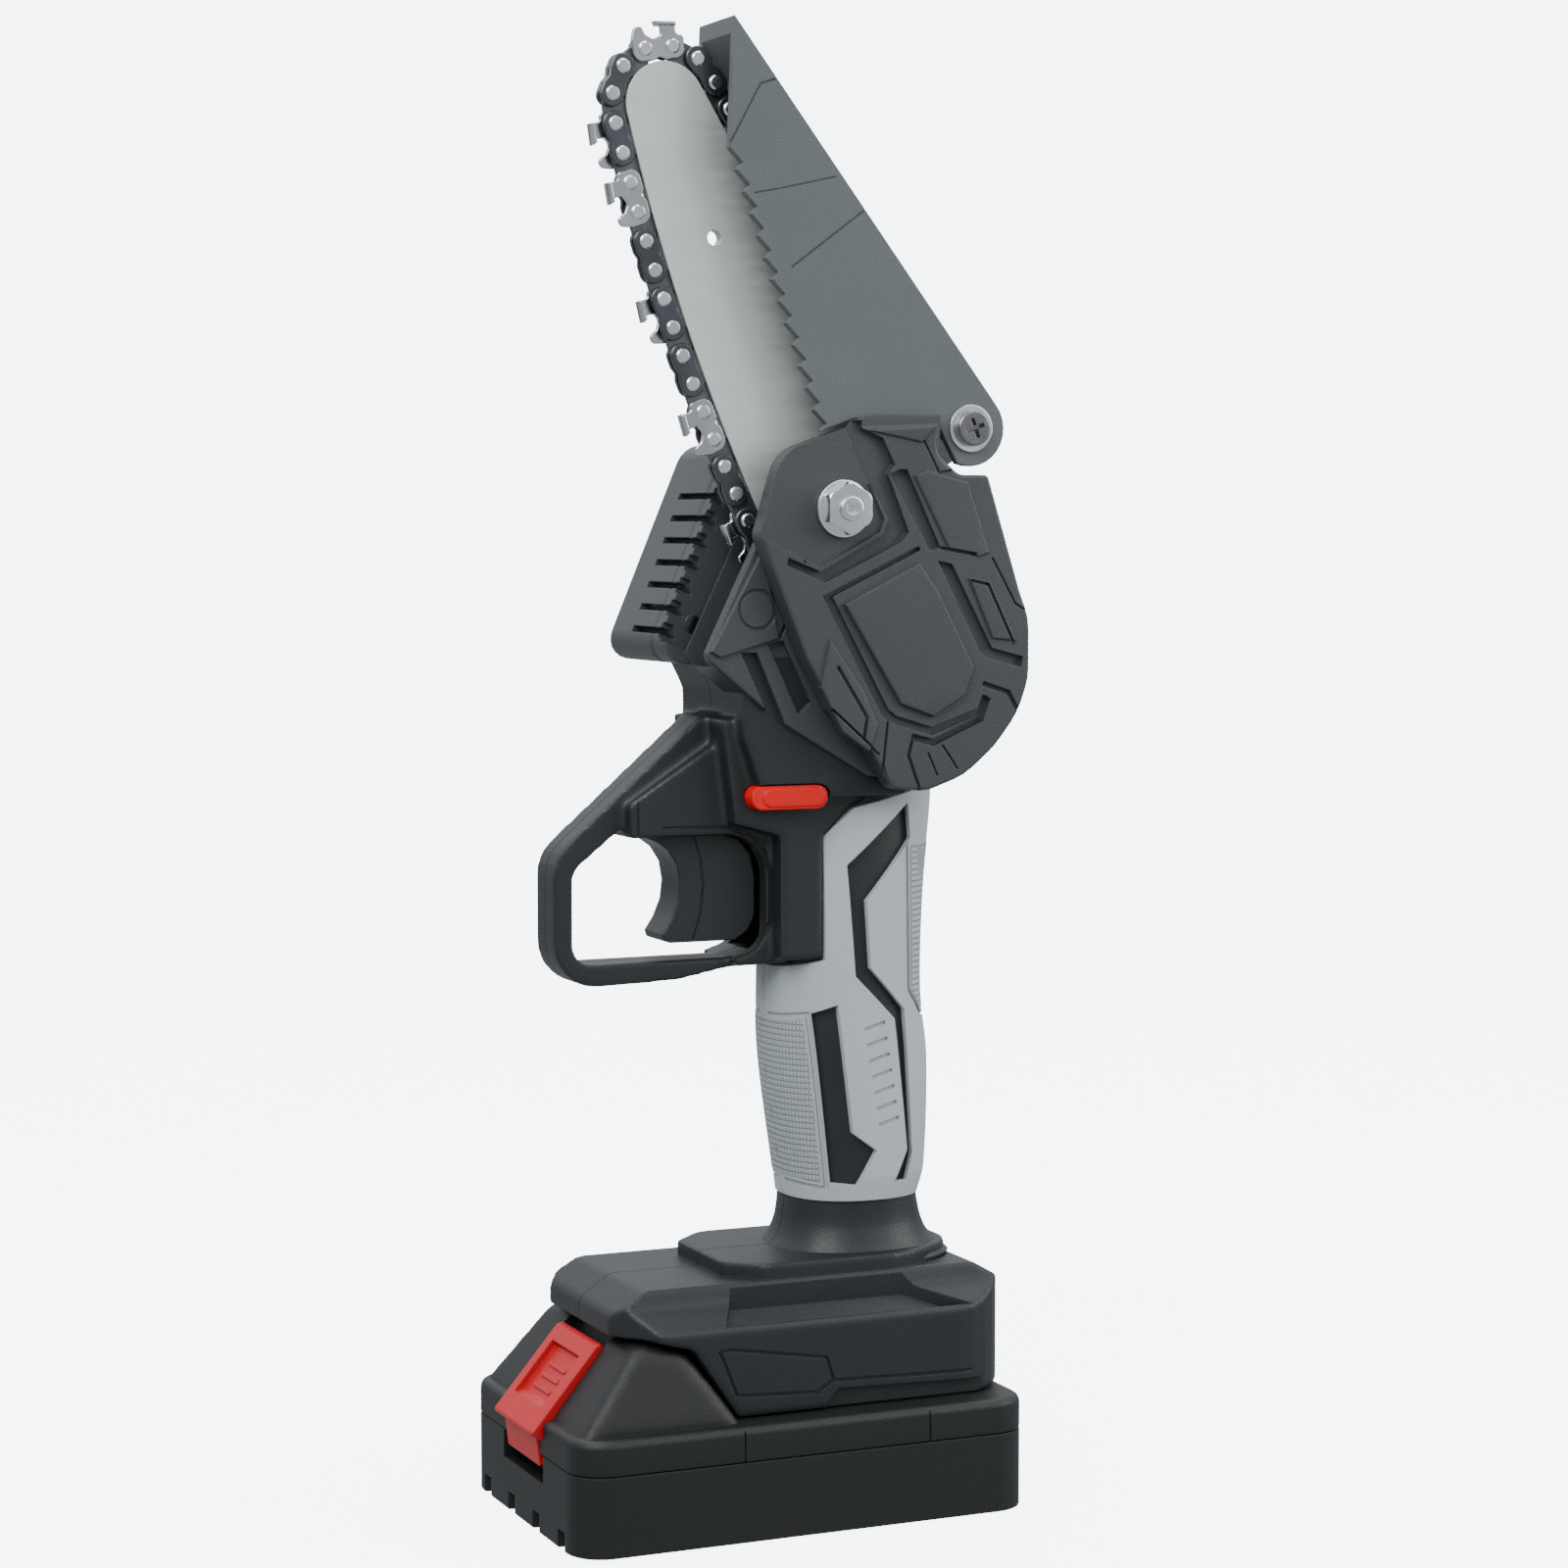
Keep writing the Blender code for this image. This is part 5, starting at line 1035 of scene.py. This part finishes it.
def makeGrips():
    sleeve = meshObject("grip", loft(easedRings(gripRings, 6), 96))
    carve(sleeve, loft(easedRings([(60.0, 24.3, 15.6, 15.6), *gripRings, (176.0, 25.0, 18.4, 15.0)], 5, 1.7), 72))
    carve(sleeve, plate(gripShape["front"], -30.0, 30.0))
    for part in ("upperWindow", "lowerWindow"):
        carve(sleeve, plate(gripShape[part], -30.0, -3.0))
        carve(sleeve, plate(gripShape[part], 3.0, 30.0))
    # shallow lines round the pads, and five plain slanted grip lines
    skin = loft(easedRings([(60.0, 24.3, 15.6, 15.6), *gripRings, (176.0, 25.0, 18.4, 15.0)], 5, 0.45), 96)
    lines = [band(route, 0.8) for route in gripLines]
    for k in range(7):
        x, z = 20.4 + 0.62 * k, 106.5 - 3.6 * k
        lines.append(band([(x + 0.6, z), (x + 5.6, z + 1.5)], 0.8))
    for near, far in ((-30.0, -2.0), (2.0, 30.0)):
        for outline in lines:
            groove = meshObject("groove", plate(outline, near, far))
            core = skin.copy()
            carve(groove, core)
            form = bmesh.new()
            form.from_mesh(groove.data)
            bpy.data.objects.remove(groove)
            carve(sleeve, form)
    skin.free()
    pads = meshObject("grip_pads", loft(easedRings(gripRings, 6, -0.12), 96))
    both = plate(gripShape["frontPad"], -30.0, 30.0)
    tool = together(both, plate(gripShape["backPad"], -30.0, 30.0))
    carve(pads, tool, how="INTERSECT")
    inner = loft(easedRings([(60.0, 24.3, 15.6, 15.6), *gripRings, (176.0, 25.0, 18.4, 15.0)], 5, 1.4), 72)
    carve(pads, inner)
    for source, paint in ((sleeve, "grip"), (pads, "gripPad")):
        for side, half, node in ((-1, "near", "left_grip"), (1, "far", "right_grip")):
            piece = bpy.data.objects.new(f"{source.name}_{half}", source.data.copy())
            bpy.context.scene.collection.objects.link(piece)
            carve(piece, halfBlock(side), how="INTERSECT")
            finishPiece(piece, paint, "body", [node], 34.0)
        bpy.data.objects.remove(source)


def makeControls():
    low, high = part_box("trigger")
    bladeOutline = [(-26.0, 149.8), (-24.6, 150.6), (-9.0, 150.6), (-4.6, 149.2), (-1.6, 145.6), (-0.6, 140.6), (-0.6, 132.0),
                    (-2.2, 128.6), (-5.4, 126.6), (-20.6, 126.6), (-22.2, 127.2), (-22.6, 128.6), (-20.6, 131.6),
                    (-19.0, 135.4), (-18.5, 139.6), (-19.2, 143.8), (-21.4, 147.2), (-24.0, 149.0)]
    trigger = meshObject("trigger_blade", plate(bladeOutline, -5.7, 5.7, 0.45, 3))
    carve(trigger, plate(band([(-15.2, 150.0), (-13.6, 144.6), (-13.0, 139.0), (-13.6, 133.0), (-15.4, 127.2)], 0.5), -8.0, -5.4))
    carve(trigger, plate(band([(-15.2, 150.0), (-13.6, 144.6), (-13.0, 139.0), (-13.6, 133.0), (-15.4, 127.2)], 0.5), 5.4, 8.0))
    finishPiece(trigger, "trigger", "trigger_unit", ["trigger"])
    low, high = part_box("lock_button")
    x0, x1, z0, z1 = low[0] / mm, high[0] / mm, low[2] / mm, high[2] / mm
    radius = (z1 - z0) / 2 - 0.05
    outline = [(x0, z0, radius), (x1, z0, radius), (x1, z1, radius), (x0, z1, radius)]
    button = meshObject("lock_button_slide", plate(outline, low[1] / mm + 0.3, high[1] / mm - 0.3, 0.5, 2))
    raised = [(x0 + 2.6, z0 + 0.7, radius - 0.75), (x1 - 0.7, z0 + 0.7, radius - 0.75), (x1 - 0.7, z1 - 0.7, radius - 0.75),
              (x0 + 2.6, z1 - 0.7, radius - 0.75)]
    carve(button, plate(raised, low[1] / mm, high[1] / mm, 0.3), how="UNION")
    finishPiece(button, "red", "lock", ["lock_button"])


makeMiddle()
makeGrips()
makeControls()
print("handle, grips and controls")


# ---- foot that holds the battery

footShape = {
    "profile": [(-40.5, 43.6), (-40.5, 48.4, 3), (-33.0, 53.4, 3), (46.0, 53.4, 4), (53.5, 49.0, 6), (57.5, 42.0, 6),
                (57.5, 27.5, 2), (49.5, 25.6), (-14.2, 25.6), (-24.6, 41.2), (-34.0, 43.6)],
    "plan": [(-41.0, -18.0), (-32.0, -28.6, 4), (50.0, -28.6, 14), (58.0, 0.0, 40), (50.0, 28.6, 14), (-32.0, 28.6, 4),
             (-41.0, 18.0)],
    "section": [(-28.9, 20.0), (-28.9, 44.6, 1.5), (-22.2, 49.6, 1.5), (-20.8, 53.6), (20.8, 53.6), (22.2, 49.6, 1.5),
                (28.9, 44.6, 1.5), (28.9, 20.0)],
    "deck": [(-12.0, -13.0, 2), (-4.0, -20.6, 4), (30.0, -20.6, 12), (46.0, -10.0, 12), (46.0, 10.0, 12), (30.0, 20.6, 12),
             (-4.0, 20.6, 4), (-12.0, 13.0, 2)],
    "deckLow": 48.0, "deckHigh": 56.8,
    "channel": [(21.2, 47.4), (27.7, 42.4), (27.7, 62.0), (21.2, 62.0)],
    "channelPlan": [(-13.0, 20.8), (27.0, 20.8), (43.5, 28.0), (-17.0, 28.0)],
}


def makeFoot():
    foot = meshObject("foot", plate(footShape["profile"], -29.0, 29.0))
    carve(foot, floorPlate(footShape["plan"], 10.0, 80.0), how="INTERSECT")
    section = plate(footShape["section"], -60.0, 60.0)
    bmesh.ops.rotate(section, verts=section.verts, matrix=Matrix.Rotation(math.radians(90), 3, "Z"))
    bmesh.ops.recalc_face_normals(section, faces=section.faces)
    carve(foot, section, how="INTERSECT")
    soften(foot, 0.6, 4)
    deck = meshObject("deck", floorPlate(footShape["deck"], footShape["deckLow"], footShape["deckHigh"]))
    soften(deck, 0.6, 5)
    form = bmesh.new()
    form.from_mesh(deck.data)
    bpy.data.objects.remove(deck)
    carve(foot, form, how="UNION")
    for sign in (-1, 1):
        slope = plate([(y * sign, z) for y, z in footShape["channel"]], -60.0, 60.0)
        bmesh.ops.rotate(slope, verts=slope.verts, matrix=Matrix.Rotation(math.radians(90), 3, "Z"))
        bmesh.ops.recalc_face_normals(slope, faces=slope.faces)
        channel = meshObject("channel", slope)
        carve(channel, floorPlate([(x, y * sign) for x, y in footShape["channelPlan"]], 30.0, 80.0), how="INTERSECT")
        form = bmesh.new()
        form.from_mesh(channel.data)
        bpy.data.objects.remove(channel)
        carve(foot, form)
        near, far = sorted((28.1 * sign, 32.0 * sign))
        trapezoid = [(-18.6, 40.4), (-14.6, 30.4), (4.2, 29.4), (8.2, 31.8), (6.6, 36.9), (-15.9, 40.6), (-18.6, 40.4)]
        carve(foot, plate(band(trapezoid, 0.7), near, far))
        carve(foot, plate(band([(8.2, 31.6), (45.0, 30.6)], 0.7), near, far))
        near, far = sorted((27.2 * sign, 32.0 * sign))
        carve(foot, plate([(6.8, 26.9), (9.4, 29.8), (60.0, 28.4), (60.0, 24.0), (6.8, 24.0)], near, far))
    carve(foot, floorPlate([(-38.0, -19.8), (58.0, -19.8), (58.0, 19.8), (-38.0, 19.8)], 20.0, 41.0))
    for side, name, node in ((-1, "foot_near", "left_housing"), (1, "foot_far", "right_housing")):
        half = bpy.data.objects.new(name, foot.data.copy())
        bpy.context.scene.collection.objects.link(half)
        carve(half, halfBlock(side), how="INTERSECT")
        if side > 0:
            sinkScrews(half, (4,))
        finishPiece(half, "foot", "body", [node], 34.0)
    bpy.data.objects.remove(foot)


packShape = {
    "half": (53.5, 35.5), "corner": 8.0, "trayHigh": 17.5, "lidLow": 17.75, "lidHigh": 25.2,
    "block": [(-52.4, 24.0), (-37.2, 42.9, 2), (-34.2, 43.0, 1), (-25.3, 40.8, 2), (-14.8, 25.4), (-13.8, 24.0)],
    "deck": [(-30.0, 24.0), (-30.0, 38.0), (36.0, 38.0), (36.0, 24.0)],
}


def packOutline(inset=0.0, corner=8.0):
    long, wide = packShape["half"][0] - inset, packShape["half"][1] - inset
    return [(-long, -wide, corner), (long, -wide, corner), (long, wide, corner), (-long, wide, corner)]


def makePack():
    tray = meshObject("battery_tray_shell", floorPlate(packOutline(), 0.0, packShape["trayHigh"], 0.3, 2))
    window = [(-60.0, -12.8), (-49.0, -12.8), (-49.0, 12.8), (-60.0, 12.8)]
    carve(tray, floorPlate(window, 11.4, 20.0))
    for k in range(4):
        y = -24.0 + 16.0 * k
        notch = [(-56.0, y - 2.6), (-50.6, y - 1.6), (-50.6, y + 1.6), (-56.0, y + 2.6)]
        carve(tray, floorPlate(notch, -1.0, 4.2))
    finishPiece(tray, "pack", "battery", ["battery_tray"])
    lid = meshObject("battery_lid", floorPlate(packOutline(0.0), packShape["lidLow"], packShape["lidHigh"], 1.8, 4))
    carve(lid, floorPlate(packOutline(-2.0), 10.0, packShape["lidLow"] + 1.2))
    carve(lid, floorPlate(packOutline(0.0), packShape["lidLow"] - 0.1, packShape["lidLow"] + 3.0, 0.3), how="UNION")
    block = plate(packShape["block"], -32.4, 32.4)
    for point in block.verts:
        point.co.y *= 1.0 - 0.18 * min(1.0, max(0.0, (point.co.z / mm - 25.0) / 18.0))
    shoulder = meshObject("battery_block", block)
    soften(shoulder, 1.0, 40)
    form = bmesh.new()
    form.from_mesh(shoulder.data)
    bpy.data.objects.remove(shoulder)
    carve(lid, form, how="UNION")
    carve(lid, plate(packShape["deck"], -19.4, 19.4), how="UNION")
    carve(lid, plate([(-60.0, 10.0), (-60.0, 21.2), (-49.3, 21.2), (-37.6, 35.2), (-35.4, 41.0), (-41.4, 44.8), (-60.0, 40.0)],
                     -12.8, 12.8))
    for x in (-15.6, 28.4):
        carve(lid, plate(band([(x, 16.0), (x, 26.5)], 0.35), -40.0, -35.1))
        carve(lid, plate(band([(x, 16.0), (x, 26.5)], 0.35), 35.1, 40.0))
    finishPiece(lid, "pack", "battery", ["battery_top"])


latchShape = {"face": [(-56.4, 22.4, 0.8), (-52.4, 20.0, 0.8), (-50.6, 19.8), (-50.6, 24.0), (-37.0, 38.4), (-39.8, 40.8, 0.6),
                       (-41.2, 40.4, 0.6)], "half": 12.4,
              "tongue": [(-54.4, 23.0), (-53.4, 14.8), (-50.9, 14.8), (-50.9, 23.0)], "tongueHalf": 10.4}


def makeLatch():
    half = latchShape["half"]
    latch = meshObject("latch_button_face", plate(latchShape["face"], -half, half, 0.7, 3))
    slope = (Vector((-41.2, 40.4)) - Vector((-56.4, 22.4))).normalized()
    out = Vector((-slope.y, slope.x))
    start = Vector((-56.4, 22.4))

    def onSlope(along, away):
        spot = start + slope * along + out * away
        return spot.x, spot.y
    dish = [onSlope(6.2, 2.0), onSlope(6.2, -0.5), onSlope(8.0, -1.5), onSlope(19.6, -1.5), onSlope(20.4, 2.0)]
    carve(latch, plate(dish, -8.6, 8.6))
    for k in range(3):
        along = 9.4 + 2.8 * k
        carve(latch, plate([onSlope(along, -0.95), onSlope(along, -1.9), onSlope(along + 1.1, -1.9),
                            onSlope(along + 1.1, -0.95)], -5.0, 5.0, 0.3, 1), how="UNION")
    carve(latch, plate(latchShape["tongue"], -latchShape["tongueHalf"], latchShape["tongueHalf"], 0.3), how="UNION")
    finishPiece(latch, "latchRed", "latch", ["latch_button"])


makeFoot()
makePack()
makeLatch()
print("foot and battery")
